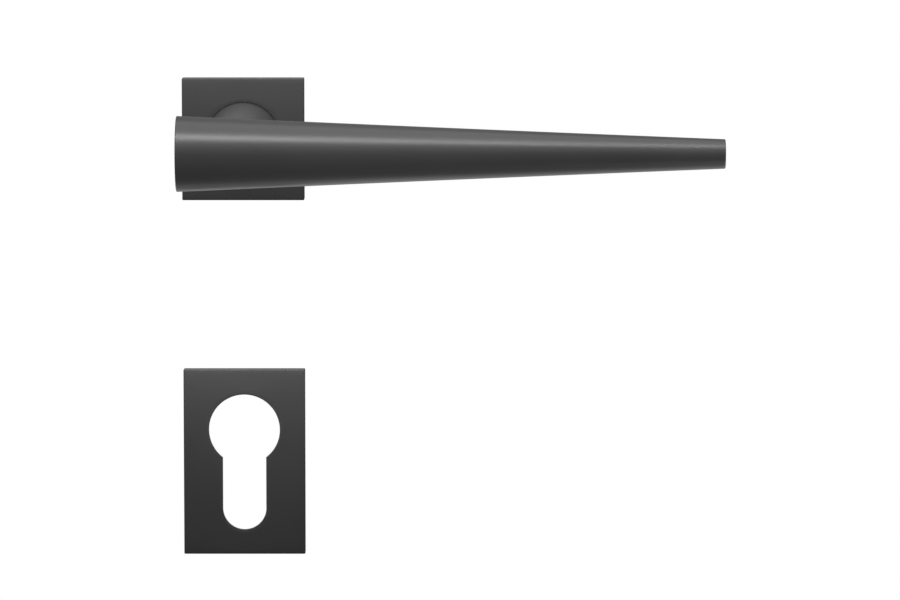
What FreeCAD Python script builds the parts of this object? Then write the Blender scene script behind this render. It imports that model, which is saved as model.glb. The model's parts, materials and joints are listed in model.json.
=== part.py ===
import FreeCAD, Part
import math
import os
import Sketcher

# A door lever handle set for one side of a door: a conical lever on a square rose, and a separate
# plate for a profile cylinder below it.
#
# Frame, in millimetres: the origin is where the spindle axis crosses the face of the door. +X runs
# along the grip towards its tip, +Y runs into the door and +Z is up. The room is on the -Y side.

doc = FreeCAD.newDocument("door_lever_handle")
sheet = doc.addObject("Spreadsheet::Sheet", "Sizes")

sizes = (
    # The whole set.
    ("handle_to_cylinder", 72, "spindle axis to cylinder axis"),
    ("plate_width", 30, "width of both covers, and height of the rose"),
    # Lever.
    ("grip_length", 130, "end to end"),
    ("grip_big_diameter", 18, "end over the rose"),
    ("grip_tip_diameter", 7, "free end"),
    ("grip_overhang", 14, "grip beyond the spindle axis, away from the tip"),
    ("grip_projection", 50, "door face to grip axis"),
    ("big_end_round", 0.25, "edge of the big end"),
    ("tip_round", 0.25, "edge of the tip"),
    ("neck_end_diameter", 16, "neck where it meets the grip"),
    ("stem_wall", 1.27, "metal outside the corners of the square socket"),
    ("journal_step", 1, "journal radius beyond the stem"),
    ("neck_step", 1, "neck radius beyond the journal"),
    ("stem_flat_depth", 0.8, "depth of the two flats that turn the driver"),
    ("stem_tail", 0.8, "stem beyond the last ring"),
    # Stud, spindle and set screw.
    ("stud_diameter", 8, "stud between neck and grip"),
    ("stud_length", 20, "end to end"),
    ("stud_chamfer", 0.8, "stud ends"),
    ("stud_past_axis", 3.5, "stud end beyond the grip axis"),
    ("socket_web", 5, "metal between the stud hole and the square socket"),
    ("spindle_side", 8, "square spindle"),
    ("spindle_length", 90, "end to end"),
    ("spindle_chamfer", 0.6, "spindle ends"),
    ("grub_diameter", 6, "set screw"),
    ("grub_length", 4, "set screw"),
    ("grub_chamfer", 0.5, "set screw ends"),
    ("grub_standoff", 12, "rose face to set screw"),
    ("grub_key", 3, "hexagon across flats"),
    ("grub_key_depth", 2, "hexagon socket"),
    # Covers and base plates.
    ("cover_face", 1, "front wall of both covers"),
    ("cover_wall", 0.9, "side wall of both covers"),
    ("cover_edge_round", 0.3, "front edges of both covers"),
    ("cover_corner_round", 0.3, "upright corners of both covers"),
    ("rose_plate", 1.9, "thickness of the rose's base plate"),
    ("escutcheon_plate", 1.7, "thickness of the cylinder plate's base plate"),
    ("plate_corner_round", 0.6, "corners of both base plates"),
    ("pry_width", 4, "notch for a screwdriver under each cover"),
    ("pry_height", 0.6, "notch for a screwdriver under each cover"),
    # Opening for the cylinder.
    ("cylinder_diameter", 17.5, "round part of the opening"),
    ("cylinder_width", 10.7, "leg of the opening"),
    ("cylinder_height", 33.65, "opening from top to bottom"),
    ("cylinder_margin_above", 6.25, "cover above the opening"),
    ("cylinder_margin_below", 6.1, "cover below the opening"),
    # Bearing and spring housing.
    ("bush_wall", 0.7, "sleeve"),
    ("bush_flange", 0.8, "flange thickness"),
    ("bush_flange_reach", 1.65, "flange radius beyond the sleeve"),
    ("bush_depth", 1.2, "sleeve past the door face"),
    ("housing_wall", 1.2, "spring housing"),
    ("washer_thickness", 0.5, "thrust washer"),
    ("washer_width", 1.7, "thrust washer and wave washer, radially"),
    ("ring_thickness", 0.8, "retaining rings"),
    ("ring_width", 1.1, "retaining rings beyond the stem"),
    ("ring_groove", 0.3, "depth of the ring grooves"),
    ("ring_ear", 0.8, "radius of the ears of the rings"),
    ("ring_ear_inset", 0.27, "centres of the ears inside the rim of the rings"),
    ("ring_opening", 0.8, "gap between the ends of the rings"),
    ("ring_eye", 0.4, "radius of the plier holes of the rings"),
    ("spring_wire", 1.3, "wire diameter"),
    ("spring_turns", 2.75, "full coils"),
    ("spring_tail_depth", 1.44, "last end of the spring inside the driver"),
    ("driver_thickness", 1.8, "driver disc"),
    ("driver_lug_angle", 24, "width of the stop lug, in degrees"),
    ("turn_angle", 45, "travel of the lever, in degrees"),
    ("wave_strip", 0.3, "thickness of the wave washer's strip"),
    ("wave_height", 0.5, "height of the wave washer"),
    # Wood screws.
    ("screw_diameter", 3, "thread"),
    ("screw_neck_diameter", 2.6, "plain neck under the head"),
    ("screw_neck", 3, "face of the head to the end of the neck"),
    ("screw_head_diameter", 5.6, "countersunk head"),
    ("screw_length", 13, "head included"),
    ("screw_shank", 5.5, "face of the head to the start of the thread"),
    ("screw_pitch", 1.2, "thread"),
    ("screw_thread_depth", 0.4, "thread"),
    ("screw_thread_width", 0.96, "groove of the thread, along the screw"),
    ("screw_point", 2.4, "length of the point"),
    ("screw_cross", 2.9, "cross recess, tip to tip"),
    ("screw_cross_slot", 0.7, "cross recess, width of a slot"),
    ("screw_cross_depth", 1, "cross recess"),
    ("screw_margin", 0.35, "base plate outside a rose screw's head"),
    ("screw_drop", 12.5, "cylinder axis to the screws beside its leg"),
    # Leaf clips that hold the covers.
    ("clip_span", 11, "length of a leaf"),
    ("clip_strip", 0.4, "thickness of a leaf"),
    ("clip_pocket", 0.95, "depth of the pocket in the base plate's edge"),
    ("clip_groove", 0.25, "depth of the groove in the cover's wall"),
    ("clip_floor", 0.3, "base plate behind a leaf"),
    ("clip_inset", 10, "end of the cylinder plate to the middle of a leaf"),
    # Clearances.
    ("running_gap", 0.05, "shaft in bush, radially, and turning faces"),
    ("spindle_gap", 0.05, "spindle in socket, each side"),
    ("thread_gap", 0.02, "screw thread in its hole, radially"),
    ("press_gap", 0.01, "bush in base plate, radially"),
    ("ring_gap", 0.02, "retaining rings in their grooves"),
    ("saddle_gap", 0.02, "neck against grip"),
    ("end_gap", 0.5, "stud end to the bottom of its hole"),
    ("spindle_end_gap", 2, "spindle end to the bottom of the socket"),
    ("neck_gap", 0.12, "neck in the rose cover, radially"),
    ("seat_gap", 0.15, "base plate inside its cover, each side"),
    ("cover_gap", 0.3, "room behind a cover's front wall"),
    ("cylinder_gap", 0.4, "base plate's opening round the cover's, each side"),
    ("bore_gap", 0.1, "washers round the stem, and driver in its housing"),
    ("spring_gap", 0.35, "spring to stem and to housing, radially"),
    ("spring_end_gap", 0.2, "either end of the spring"),
    ("coil_gap", 0.05, "between coils"),
    ("slot_gap", 0.1, "each side of the spring's ends"),
    ("stop_play", 1, "each end of the lever's travel, in degrees"),
    ("clip_gap", 0.1, "round a leaf clip"),
    ("screw_gap", 0.2, "screw thread in its hole, radially"),
    ("head_gap", 0.1, "countersink round the screw head"),
    # Construction.
    ("past_metal", 1, "how far a cut runs past the metal it removes"),
    ("joint_overlap", 0.3, "how far added metal starts inside its piece"),
)

for row, (alias, number, note) in enumerate(sizes, start=1):
    sheet.set(f"A{row}", alias)
    sheet.set(f"B{row}", str(number))
    sheet.set(f"C{row}", note)
    sheet.setAlias(f"B{row}", alias)
doc.recompute()

# Radii about the spindle axis, from the spindle outwards.
socket_half = "(Sizes.spindle_side / 2 + Sizes.spindle_gap)"
stem_radius = f"({socket_half} * sqrt(2) + Sizes.stem_wall)"
journal_radius = f"({stem_radius} + Sizes.journal_step)"
neck_radius = f"({journal_radius} + Sizes.neck_step)"
bush_bore = f"({journal_radius} + Sizes.running_gap)"
bush_radius = f"({bush_bore} + Sizes.bush_wall)"
flange_radius = f"({bush_radius} + Sizes.bush_flange_reach)"
spring_radius = f"({stem_radius} + Sizes.spring_gap + Sizes.spring_wire / 2)"
housing_bore = f"({stem_radius} + 2 * Sizes.spring_gap + Sizes.spring_wire)"
housing_radius = f"({housing_bore} + Sizes.housing_wall)"
stem_flat = f"({stem_radius} - Sizes.stem_flat_depth)"
stud_bore = "(Sizes.stud_diameter / 2 + Sizes.thread_gap)"

# Places along the spindle axis, from the cover to the stem's end.
rose_face = "(-Sizes.rose_plate - Sizes.bush_flange - Sizes.cover_gap - Sizes.cover_face)"
flange_front = "(-Sizes.rose_plate - Sizes.bush_flange)"
neck_shoulder = f"({flange_front} - Sizes.running_gap)"
washer_front = "(Sizes.bush_depth + Sizes.running_gap)"
washer_back = f"({washer_front} + Sizes.washer_thickness)"
hub_ring_front = f"({washer_back} + Sizes.running_gap)"
hub_ring_back = f"({hub_ring_front} + Sizes.ring_thickness)"
spring_front = f"({hub_ring_back} + Sizes.spring_end_gap)"
coil_pitch = "(Sizes.spring_wire + Sizes.coil_gap)"
spring_back = f"({spring_front} + Sizes.spring_wire + Sizes.spring_turns * {coil_pitch})"
driver_front = f"({spring_back} + Sizes.spring_end_gap)"
driver_back = f"({driver_front} + Sizes.driver_thickness)"
wave_front = f"({driver_back} + Sizes.running_gap)"
driver_ring_front = f"({wave_front} + Sizes.wave_height + Sizes.running_gap)"
stem_end = f"({driver_ring_front} + Sizes.ring_thickness + Sizes.stem_tail)"

# Places along the spindle axis inside the neck and grip.
stud_back = "(-Sizes.grip_projection - Sizes.stud_past_axis + Sizes.stud_length)"
stud_hole_end = f"({stud_back} + Sizes.end_gap)"
socket_floor = f"({stud_hole_end} + Sizes.socket_web)"
spindle_front = f"({socket_floor} + Sizes.spindle_end_gap)"

# Directions round the spindle axis, in degrees from +X towards +Z.
lug_rest = "(270 + Sizes.turn_angle / 2)"
spring_tail = "(90 - 360 * Sizes.spring_turns)"

# Outlines of the plates. The rose is square about the spindle axis, and the cylinder plate is
# drawn about the cylinder axis.
cover_half = "(Sizes.plate_width / 2)"
cavity_half = f"({cover_half} - Sizes.cover_wall)"
plate_half = f"({cavity_half} - Sizes.seat_gap)"
escutcheon_top = "(Sizes.cylinder_diameter / 2 + Sizes.cylinder_margin_above)"
cylinder_foot = "(Sizes.cylinder_diameter / 2 - Sizes.cylinder_height)"
escutcheon_bottom = f"({cylinder_foot} - Sizes.cylinder_margin_below)"
escutcheon_face = "(-Sizes.escutcheon_plate - Sizes.cover_gap - Sizes.cover_face)"
rose_screw_place = f"({plate_half} - Sizes.screw_margin - Sizes.screw_head_diameter / 2)"
leg_half = "(Sizes.cylinder_width / 2 + Sizes.cylinder_gap)"
escutcheon_screw_place = f"(({leg_half} + {plate_half}) / 2)"
clip_above = f"({escutcheon_top} - Sizes.clip_inset)"
clip_below = f"({escutcheon_bottom} + Sizes.clip_inset)"

# Corners closer than this, in millimetres, are at the same place.
same_place = 1e-4

pieces = []


def value(expression):
    """The number that an expression of the sheet gives."""
    return float(sheet.evalExpression(expression))


def minus(expression):
    return f"-({expression})"


def degrees_of(sine):
    """The angle that has a sine, in degrees as a plain number."""
    return f"(asin({sine}) / 1 deg)"


# ---- Sketches -------------------------------------------------------------------------------


def bind(item, expressions):
    for setting, expression in expressions.items():
        item.setExpression(setting, expression)


def new_body(name, y="0", z="0"):
    """An empty body, moved along Y and Z by expressions."""
    body = doc.addObject("PartDesign::Body", name)
    body.Label = name
    bind(body, {"Placement.Base.y": y, "Placement.Base.z": z})
    pieces.append(body)
    return body


def new_sketch(body, role, name, out="0"):
    """A sketch on one of the body's origin planes, moved along that plane's normal."""
    plane = next(item for item in body.Origin.OriginFeatures if item.Role == role)
    sketch = body.newObject("Sketcher::SketchObject", name)
    sketch.AttachmentSupport = [(plane, "")]
    sketch.MapMode = "FlatFace"
    sketch.setExpression("AttachmentOffset.Base.z", out)
    return sketch


def lathe_sketch(body, name):
    """A half section: first coordinate the radius, second the place along Y."""
    return new_sketch(body, "XY_Plane", name)


def door_sketch(body, name, y="0"):
    """A sketch parallel to the door at y, with X to the right and Z up."""
    return new_sketch(body, "XZ_Plane", name, minus(y))


def vector(point):
    return FreeCAD.Vector(value(point[0]), value(point[1]), 0)


def hold_point(sketch, edge, end, point):
    """Ties one end of an edge to a pair of expressions."""
    for kind, expression in zip(("DistanceX", "DistanceY"), point):
        tie = sketch.addConstraint(
            Sketcher.Constraint(kind, -1, 1, edge, end, value(expression)))
        sketch.setExpression(f"Constraints[{tie}]", expression)


def hold_radius(sketch, edge, radius):
    tie = sketch.addConstraint(Sketcher.Constraint("Radius", edge, value(radius)))
    sketch.setExpression(f"Constraints[{tie}]", radius)


def draw_outline(sketch, points):
    """A closed outline of straight edges."""
    first = sketch.GeometryCount
    count = len(points)
    for place, point in enumerate(points):
        after = points[(place + 1) % count]
        sketch.addGeometry(Part.LineSegment(vector(point), vector(after)), False)
    for place, point in enumerate(points):
        edge = first + place
        after = first + (place + 1) % count
        sketch.addConstraint(Sketcher.Constraint("Coincident", edge, 2, after, 1))
        hold_point(sketch, edge, 1, point)


def draw_rectangle(sketch, left, right, bottom, top):
    draw_outline(sketch, [(left, bottom), (right, bottom), (right, top), (left, top)])


def draw_circle(sketch, radius, centre=("0", "0")):
    circle = Part.Circle(vector(centre), FreeCAD.Vector(0, 0, 1), value(radius))
    edge = sketch.addGeometry(circle, False)
    hold_point(sketch, edge, 3, centre)
    hold_radius(sketch, edge, radius)


def polar(radius, angle, centre_x="0"):
    """The point at an angle on a circle."""
    return (f"{centre_x} + {radius} * cos({angle})", f"{radius} * sin({angle})")


def draw_arc(sketch, radius, centre_x, start, end):
    """An arc about a point on the sketch's X axis, from one angle to another."""
    circle = Part.Circle(vector((centre_x, "0")), FreeCAD.Vector(0, 0, 1), value(radius))
    sweep = (math.radians(value(start)), math.radians(value(end)))
    edge = sketch.addGeometry(Part.ArcOfCircle(circle, *sweep), False)
    hold_radius(sketch, edge, radius)
    return edge


def draw_sector(sketch, inner, outer, start, end, centre_x="0"):
    """A piece of a ring: two arcs about one centre, joined by two straight ends."""
    corners = [polar(inner, start, centre_x), polar(outer, start, centre_x),
               polar(outer, end, centre_x), polar(inner, end, centre_x)]
    first = sketch.addGeometry(Part.LineSegment(vector(corners[0]), vector(corners[1])), False)
    second = sketch.addGeometry(Part.LineSegment(vector(corners[2]), vector(corners[3])), False)
    outer_arc = draw_arc(sketch, outer, centre_x, start, end)
    inner_arc = draw_arc(sketch, inner, centre_x, start, end)
    joints = ((first, 2, outer_arc, 1), (outer_arc, 2, second, 1),
              (second, 2, inner_arc, 2), (inner_arc, 1, first, 1))
    for joint in joints:
        sketch.addConstraint(Sketcher.Constraint("Coincident", *joint))
    for edge, end_number, corner in zip((first, first, second, second), (1, 2, 1, 2), corners):
        hold_point(sketch, edge, end_number, corner)


# ---- Features -------------------------------------------------------------------------------


def new_feature(body, kind, sketch, bound, **settings):
    """A feature of a sketch, with some of its sizes bound to expressions."""
    feature = body.newObject(f"PartDesign::{kind}", f"{sketch.Name}_{kind}")
    feature.Profile = sketch
    for setting, content in settings.items():
        setattr(feature, setting, content)
    bind(feature, bound)
    doc.recompute()
    before = feature.BaseFeature.Shape.Volume if feature.BaseFeature else 0.0
    change = feature.Shape.Volume - before
    removes = kind in ("Pocket", "Groove")
    if removes == (change > 0) or abs(change) < same_place:
        raise RuntimeError(f"{feature.Label} changed the volume by {change}")
    return feature


def pad_along_normal(body, sketch, length):
    """A pad towards the room, or upwards from a level sketch."""
    return new_feature(body, "Pad", sketch, {"Length": length})


def pad_into_door(body, sketch, length):
    return new_feature(body, "Pad", sketch, {"Length": length}, Reversed=True)


def cut_against_normal(body, sketch, length):
    """A pocket into the door, or downwards from a level sketch."""
    return new_feature(body, "Pocket", sketch, {"Length": length})


def turn_on_lathe(body, sketch, axis="V_Axis"):
    return new_feature(body, "Revolution", sketch, {}, ReferenceAxis=(sketch, [axis]), Angle=360)


def cut_on_lathe(body, sketch, axis="V_Axis"):
    return new_feature(body, "Groove", sketch, {}, ReferenceAxis=(sketch, [axis]), Angle=360)


def dress_edges(body, kind, setting, size, chosen):
    """A fillet or chamfer of one size on the edges that the test picks."""
    base = body.Tip
    names = [f"Edge{place}" for place, edge in enumerate(base.Shape.Edges, start=1)
             if chosen([vertex.Point for vertex in edge.Vertexes])]
    feature = body.newObject(f"PartDesign::{kind}", f"{body.Name}_{kind}")
    feature.Base = (base, names)
    feature.setExpression(setting, size)
    doc.recompute()
    return feature


def round_edges(body, radius, chosen):
    return dress_edges(body, "Fillet", "Radius", radius, chosen)


def chamfer_edges(body, size, chosen):
    return dress_edges(body, "Chamfer", "Size", size, chosen)


def all_at(coordinate, expression):
    """A test for edges whose ends all have one coordinate at a given place."""
    place = value(expression)

    def chosen(points):
        return all(abs(getattr(point, coordinate) - place) < same_place for point in points)

    return chosen


def copy_in_row(body, originals, axis, step, count):
    """Copies features of the body, or the whole body, along an axis of a sketch."""
    pattern = body.newObject("PartDesign::LinearPattern", f"{body.Name}_row")
    if originals:
        pattern.Originals = originals
    else:
        pattern.TransformMode = "Whole shape"
    pattern.Direction = axis
    pattern.Mode = "Spacing"
    pattern.setExpression("Offset", step)
    pattern.Occurrences = count
    body.Tip = pattern
    doc.recompute()
    return pattern


# ---- Lever ----------------------------------------------------------------------------------


def grip_radius(along):
    """Radius of the grip's cone at a place along X, measured from the spindle axis."""
    taper = "(Sizes.grip_big_diameter - Sizes.grip_tip_diameter) / 2 / Sizes.grip_length"
    return f"(Sizes.grip_big_diameter / 2 - {taper} * ({along} + Sizes.grip_overhang))"


def make_lever_grip():
    """The cone, with a threaded hole for the stud on its door side."""
    body = new_body("lever_grip", y="-Sizes.grip_projection")
    big_end = "-Sizes.grip_overhang"
    tip = "(Sizes.grip_length - Sizes.grip_overhang)"
    profile = lathe_sketch(body, "grip_profile")
    draw_outline(profile, [(big_end, "0"), (tip, "0"), (tip, "Sizes.grip_tip_diameter / 2"),
                           (big_end, "Sizes.grip_big_diameter / 2")])
    turn_on_lathe(body, profile, "H_Axis")
    round_edges(body, "Sizes.big_end_round", all_at("x", big_end))
    round_edges(body, "Sizes.tip_round", all_at("x", tip))
    hole_end = "(-Sizes.stud_past_axis - Sizes.end_gap)"
    hole = door_sketch(body, "grip_stud_hole", hole_end)
    draw_circle(hole, stud_bore)
    cut_against_normal(body, hole, f"Sizes.grip_big_diameter - {hole_end}")


def ring_groove(front):
    """Four corners of a retaining ring's groove in the stem."""
    bottom = f"({stem_radius} - Sizes.ring_groove)"
    start = f"({front} - Sizes.ring_gap)"
    stop = f"({front} + Sizes.ring_thickness + Sizes.ring_gap)"
    return [(stem_radius, start), (bottom, start), (bottom, stop), (stem_radius, stop)]


def make_lever_neck():
    """The neck: saddle for the grip, taper, journal, stem, square socket and set screw hole."""
    body = new_body("lever_neck")
    axis = "-Sizes.grip_projection"
    end_radius = "Sizes.neck_end_diameter / 2"
    profile = lathe_sketch(body, "neck_profile")
    draw_outline(profile, [
        (stud_bore, axis), (end_radius, axis), (neck_radius, rose_face),
        (neck_radius, neck_shoulder), (journal_radius, neck_shoulder),
        (journal_radius, "Sizes.bush_depth"), (stem_radius, "Sizes.bush_depth"),
        *ring_groove(hub_ring_front), *ring_groove(driver_ring_front),
        (stem_radius, stem_end), ("0", stem_end), ("0", stud_hole_end),
        (stud_bore, stud_hole_end)])
    turn_on_lathe(body, profile)

    reach = f"({neck_radius} + Sizes.past_metal)"
    saddle = lathe_sketch(body, "neck_saddle")
    draw_outline(saddle, [
        (minus(reach), axis), (reach, axis),
        (reach, f"{axis} + {grip_radius(reach)} + Sizes.saddle_gap"),
        (minus(reach), f"{axis} + {grip_radius(minus(reach))} + Sizes.saddle_gap")])
    cut_on_lathe(body, saddle, "Edge1")

    socket = door_sketch(body, "neck_socket", socket_floor)
    draw_rectangle(socket, minus(socket_half), socket_half, minus(socket_half), socket_half)
    cut_against_normal(body, socket, f"{stem_end} - {socket_floor}")

    flats = door_sketch(body, "neck_flats", driver_front)
    draw_rectangle(flats, minus(journal_radius), journal_radius, stem_flat, journal_radius)
    draw_rectangle(flats, minus(journal_radius), journal_radius,
                   minus(journal_radius), minus(stem_flat))
    cut_against_normal(body, flats, f"{stem_end} - {driver_front}")

    hole = new_sketch(body, "XY_Plane", "neck_grub_hole")
    draw_circle(hole, "Sizes.grub_diameter / 2", ("0", f"{rose_face} - Sizes.grub_standoff"))
    cut_against_normal(body, hole, neck_radius)


def make_neck_stud():
    body = new_body("neck_stud")
    front = f"({stud_back} - Sizes.stud_length)"
    section = door_sketch(body, "stud_section", front)
    draw_circle(section, "Sizes.stud_diameter / 2")
    pad_into_door(body, section, "Sizes.stud_length")
    at_front = all_at("y", front)
    at_back = all_at("y", stud_back)
    chamfer_edges(body, "Sizes.stud_chamfer",
                  lambda points: at_front(points) or at_back(points))


def make_spindle():
    body = new_body("spindle")
    half = "Sizes.spindle_side / 2"
    section = door_sketch(body, "spindle_section", spindle_front)
    draw_rectangle(section, minus(half), half, minus(half), half)
    pad_into_door(body, section, "Sizes.spindle_length")
    at_front = all_at("y", spindle_front)
    at_back = all_at("y", f"{spindle_front} + Sizes.spindle_length")
    chamfer_edges(body, "Sizes.spindle_chamfer",
                  lambda points: at_front(points) or at_back(points))


def make_grub_screw():
    """The set screw under the neck, which clamps the spindle from below."""
    body = new_body("grub_screw", y=f"{rose_face} - Sizes.grub_standoff")
    top = "(-Sizes.spindle_side / 2 - Sizes.thread_gap)"
    bottom = f"({top} - Sizes.grub_length)"
    section = new_sketch(body, "XY_Plane", "grub_section", bottom)
    draw_circle(section, "Sizes.grub_diameter / 2 - Sizes.thread_gap")
    pad_along_normal(body, section, "Sizes.grub_length")
    at_top = all_at("z", top)
    at_bottom = all_at("z", bottom)
    chamfer_edges(body, "Sizes.grub_chamfer",
                  lambda points: at_top(points) or at_bottom(points))
    key = new_sketch(body, "XY_Plane", "grub_key", f"{bottom} + Sizes.grub_key_depth")
    hexagon = range(0, 360, 60)
    draw_outline(key, [polar("Sizes.grub_key / sqrt(3)", str(angle)) for angle in hexagon])
    cut_against_normal(body, key, "Sizes.grub_key_depth")


# ---- Covers and base plates -----------------------------------------------------------------


def draw_cylinder_opening(sketch, gap="0"):
    """The outline of a profile cylinder: a circle over a leg with a round foot."""
    radius = value(f"Sizes.cylinder_diameter / 2 + {gap}")
    half = value(f"Sizes.cylinder_width / 2 + {gap}")
    centre = ("0", "0")
    foot = ("0", f"{cylinder_foot} + Sizes.cylinder_width / 2")
    drop = value(foot[1])
    side = math.asin(half / radius)
    up = FreeCAD.Vector(0, 0, 1)
    head_circle = Part.Circle(vector(centre), up, radius)
    foot_circle = Part.Circle(vector(foot), up, half)
    join = -radius * math.cos(side)
    head_sweep = (side - math.pi / 2, 3 * math.pi / 2 - side)
    sketch.addGeometry([
        Part.ArcOfCircle(head_circle, *head_sweep),
        Part.LineSegment(FreeCAD.Vector(-half, join, 0), FreeCAD.Vector(-half, drop, 0)),
        Part.ArcOfCircle(foot_circle, math.pi, 2 * math.pi),
        Part.LineSegment(FreeCAD.Vector(half, drop, 0), FreeCAD.Vector(half, join, 0))], False)
    sketch.addConstraint([
        Sketcher.Constraint("Coincident", 0, 2, 1, 1),
        Sketcher.Constraint("Tangent", 1, 2, 2, 1),
        Sketcher.Constraint("Tangent", 2, 2, 3, 1),
        Sketcher.Constraint("Coincident", 3, 2, 0, 1),
        Sketcher.Constraint("Vertical", 1)])
    hold_point(sketch, 0, 3, centre)
    hold_point(sketch, 2, 3, foot)
    hold_radius(sketch, 0, f"Sizes.cylinder_diameter / 2 + {gap}")
    hold_radius(sketch, 2, f"Sizes.cylinder_width / 2 + {gap}")


def clip_groove_reach():
    """How far from the middle a cover's grooves reach."""
    return f"({cavity_half} + Sizes.clip_groove)"


def make_cover(name, face, bottom, top, clip_places, plate, z="0"):
    """A pressed cover, open at the back, with grooves for the leaf clips in its side walls."""
    body = new_body(name, z=z)
    outline = door_sketch(body, f"{name}_outline")
    draw_rectangle(outline, minus(cover_half), cover_half, bottom, top)
    pad_along_normal(body, outline, minus(face))

    def upright(points):
        return abs(points[0].y - points[-1].y) > value("Sizes.cover_edge_round")

    round_edges(body, "Sizes.cover_corner_round", upright)
    round_edges(body, "Sizes.cover_edge_round", all_at("y", face))

    cavity = door_sketch(body, f"{name}_cavity", f"{face} + Sizes.cover_face")
    draw_rectangle(cavity, minus(cavity_half), cavity_half,
                   f"{bottom} + Sizes.cover_wall", f"{top} - Sizes.cover_wall")
    cut_against_normal(body, cavity, f"-({face}) - Sizes.cover_face")

    grooves = door_sketch(body, f"{name}_grooves", minus(plate))
    for place in clip_places:
        draw_rectangle(grooves, minus(clip_groove_reach()), clip_groove_reach(),
                       f"{place} - Sizes.clip_span / 2", f"{place} + Sizes.clip_span / 2")
    cut_against_normal(body, grooves, f"{plate} - Sizes.clip_floor + Sizes.clip_gap")

    notch = door_sketch(body, f"{name}_pry_notch", "-Sizes.pry_height")
    draw_rectangle(notch, "-Sizes.pry_width / 2", "Sizes.pry_width / 2",
                   f"{bottom} - Sizes.cover_wall", f"{bottom} + 2 * Sizes.cover_wall")
    cut_against_normal(body, notch, "Sizes.pry_height")
    return body


def make_rose_cover():
    body = make_cover("rose_cover", rose_face, minus(cover_half), cover_half, ["0"],
                      "Sizes.rose_plate")
    hole = door_sketch(body, "rose_cover_hole", rose_face)
    draw_circle(hole, f"{neck_radius} + Sizes.neck_gap")
    cut_against_normal(body, hole, "Sizes.cover_face")


def make_escutcheon_cover():
    body = make_cover("escutcheon_cover", escutcheon_face, escutcheon_bottom, escutcheon_top,
                      [clip_above, clip_below], "Sizes.escutcheon_plate",
                      z="-Sizes.handle_to_cylinder")
    opening = door_sketch(body, "escutcheon_cover_opening", escutcheon_face)
    draw_cylinder_opening(opening)
    cut_against_normal(body, opening, "Sizes.cover_face")


def make_base_plate(name, plate, bottom, top, screw_places, clip_places, z="0"):
    """A flat plate with countersunk holes, and pockets in its side edges for the leaf clips."""
    body = new_body(name, z=z)
    outline = door_sketch(body, f"{name}_outline")
    draw_rectangle(outline, minus(plate_half), plate_half, bottom, top)
    pad_along_normal(body, outline, plate)

    def upright(points):
        return abs(points[0].y - points[-1].y) > value(plate) / 2

    round_edges(body, "Sizes.plate_corner_round", upright)

    hole_radius = "(Sizes.screw_diameter / 2 + Sizes.screw_gap)"
    holes = door_sketch(body, f"{name}_holes", minus(plate))
    for place in screw_places:
        draw_circle(holes, hole_radius, place)
    cut_against_normal(body, holes, plate)
    at_front = all_at("y", minus(plate))
    centres = [(value(x), value(z_place)) for x, z_place in screw_places]

    def rim(points):
        reach = value("Sizes.screw_diameter")
        near = any(math.hypot(points[0].x - x, points[0].z - z_place) < reach
                   for x, z_place in centres)
        return near and at_front(points)

    chamfer_edges(body, f"Sizes.screw_head_diameter / 2 + Sizes.head_gap - {hole_radius}", rim)

    pockets = door_sketch(body, f"{name}_pockets", minus(plate))
    pocket_bottom = f"({plate_half} - Sizes.clip_pocket)"
    pocket_half = "(Sizes.clip_span / 2 + 2 * Sizes.clip_gap)"
    for place in clip_places:
        ends = (f"{place} - {pocket_half}", f"{place} + {pocket_half}")
        draw_rectangle(pockets, pocket_bottom, cover_half, *ends)
        draw_rectangle(pockets, minus(cover_half), minus(pocket_bottom), *ends)
    cut_against_normal(body, pockets, f"{plate} - Sizes.clip_floor")
    return body


def make_rose_base():
    """The rose's base plate, with the spring housing that sits in the door."""
    corners = [(f"{side_x}{rose_screw_place}", f"{side_z}{rose_screw_place}")
               for side_x in ("", "-") for side_z in ("", "-")]
    body = make_base_plate("rose_base", "Sizes.rose_plate", minus(plate_half), plate_half,
                           corners, ["0"])
    housing = door_sketch(body, "rose_base_housing")
    draw_circle(housing, housing_radius)
    pad_into_door(body, housing, driver_back)

    seat = door_sketch(body, "rose_base_bush_seat", "-Sizes.rose_plate")
    draw_circle(seat, f"{bush_radius} + Sizes.press_gap")
    cut_against_normal(body, seat, f"Sizes.rose_plate + {driver_back}")
    bore = door_sketch(body, "rose_base_bore", "Sizes.bush_depth")
    draw_circle(bore, housing_bore)
    cut_against_normal(body, bore, f"{driver_back} - Sizes.bush_depth")

    half_window = "(Sizes.turn_angle / 2 + Sizes.driver_lug_angle / 2 + Sizes.stop_play)"
    window_front = f"({driver_front} - Sizes.slot_gap)"
    window = door_sketch(body, "rose_base_stop_window", window_front)
    draw_sector(window, stem_radius, f"({housing_radius} + Sizes.past_metal)",
                f"(270 - {half_window})", f"(270 + {half_window})")
    cut_against_normal(body, window, f"{driver_back} - {window_front}")

    slot_half = "(Sizes.spring_wire / 2 + Sizes.slot_gap)"
    slot_front = f"({spring_front} - Sizes.slot_gap)"
    slot = door_sketch(body, "rose_base_spring_slot", slot_front)
    draw_rectangle(slot, minus(slot_half), slot_half,
                   stem_radius, f"({housing_radius} + Sizes.past_metal)")
    cut_against_normal(body, slot, f"{driver_back} - {slot_front}")


def make_escutcheon_base():
    """The base plate round the cylinder."""
    places = [(f"{side}{escutcheon_screw_place}", "-Sizes.screw_drop") for side in ("", "-")]
    body = make_base_plate("escutcheon_base", "Sizes.escutcheon_plate",
                           f"{escutcheon_bottom} + Sizes.cover_wall + Sizes.seat_gap",
                           f"{escutcheon_top} - Sizes.cover_wall - Sizes.seat_gap",
                           places, [clip_above, clip_below], z="-Sizes.handle_to_cylinder")
    opening = door_sketch(body, "escutcheon_base_opening", "-Sizes.escutcheon_plate")
    draw_cylinder_opening(opening, "Sizes.cylinder_gap")
    cut_against_normal(body, opening, "Sizes.escutcheon_plate")


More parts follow.
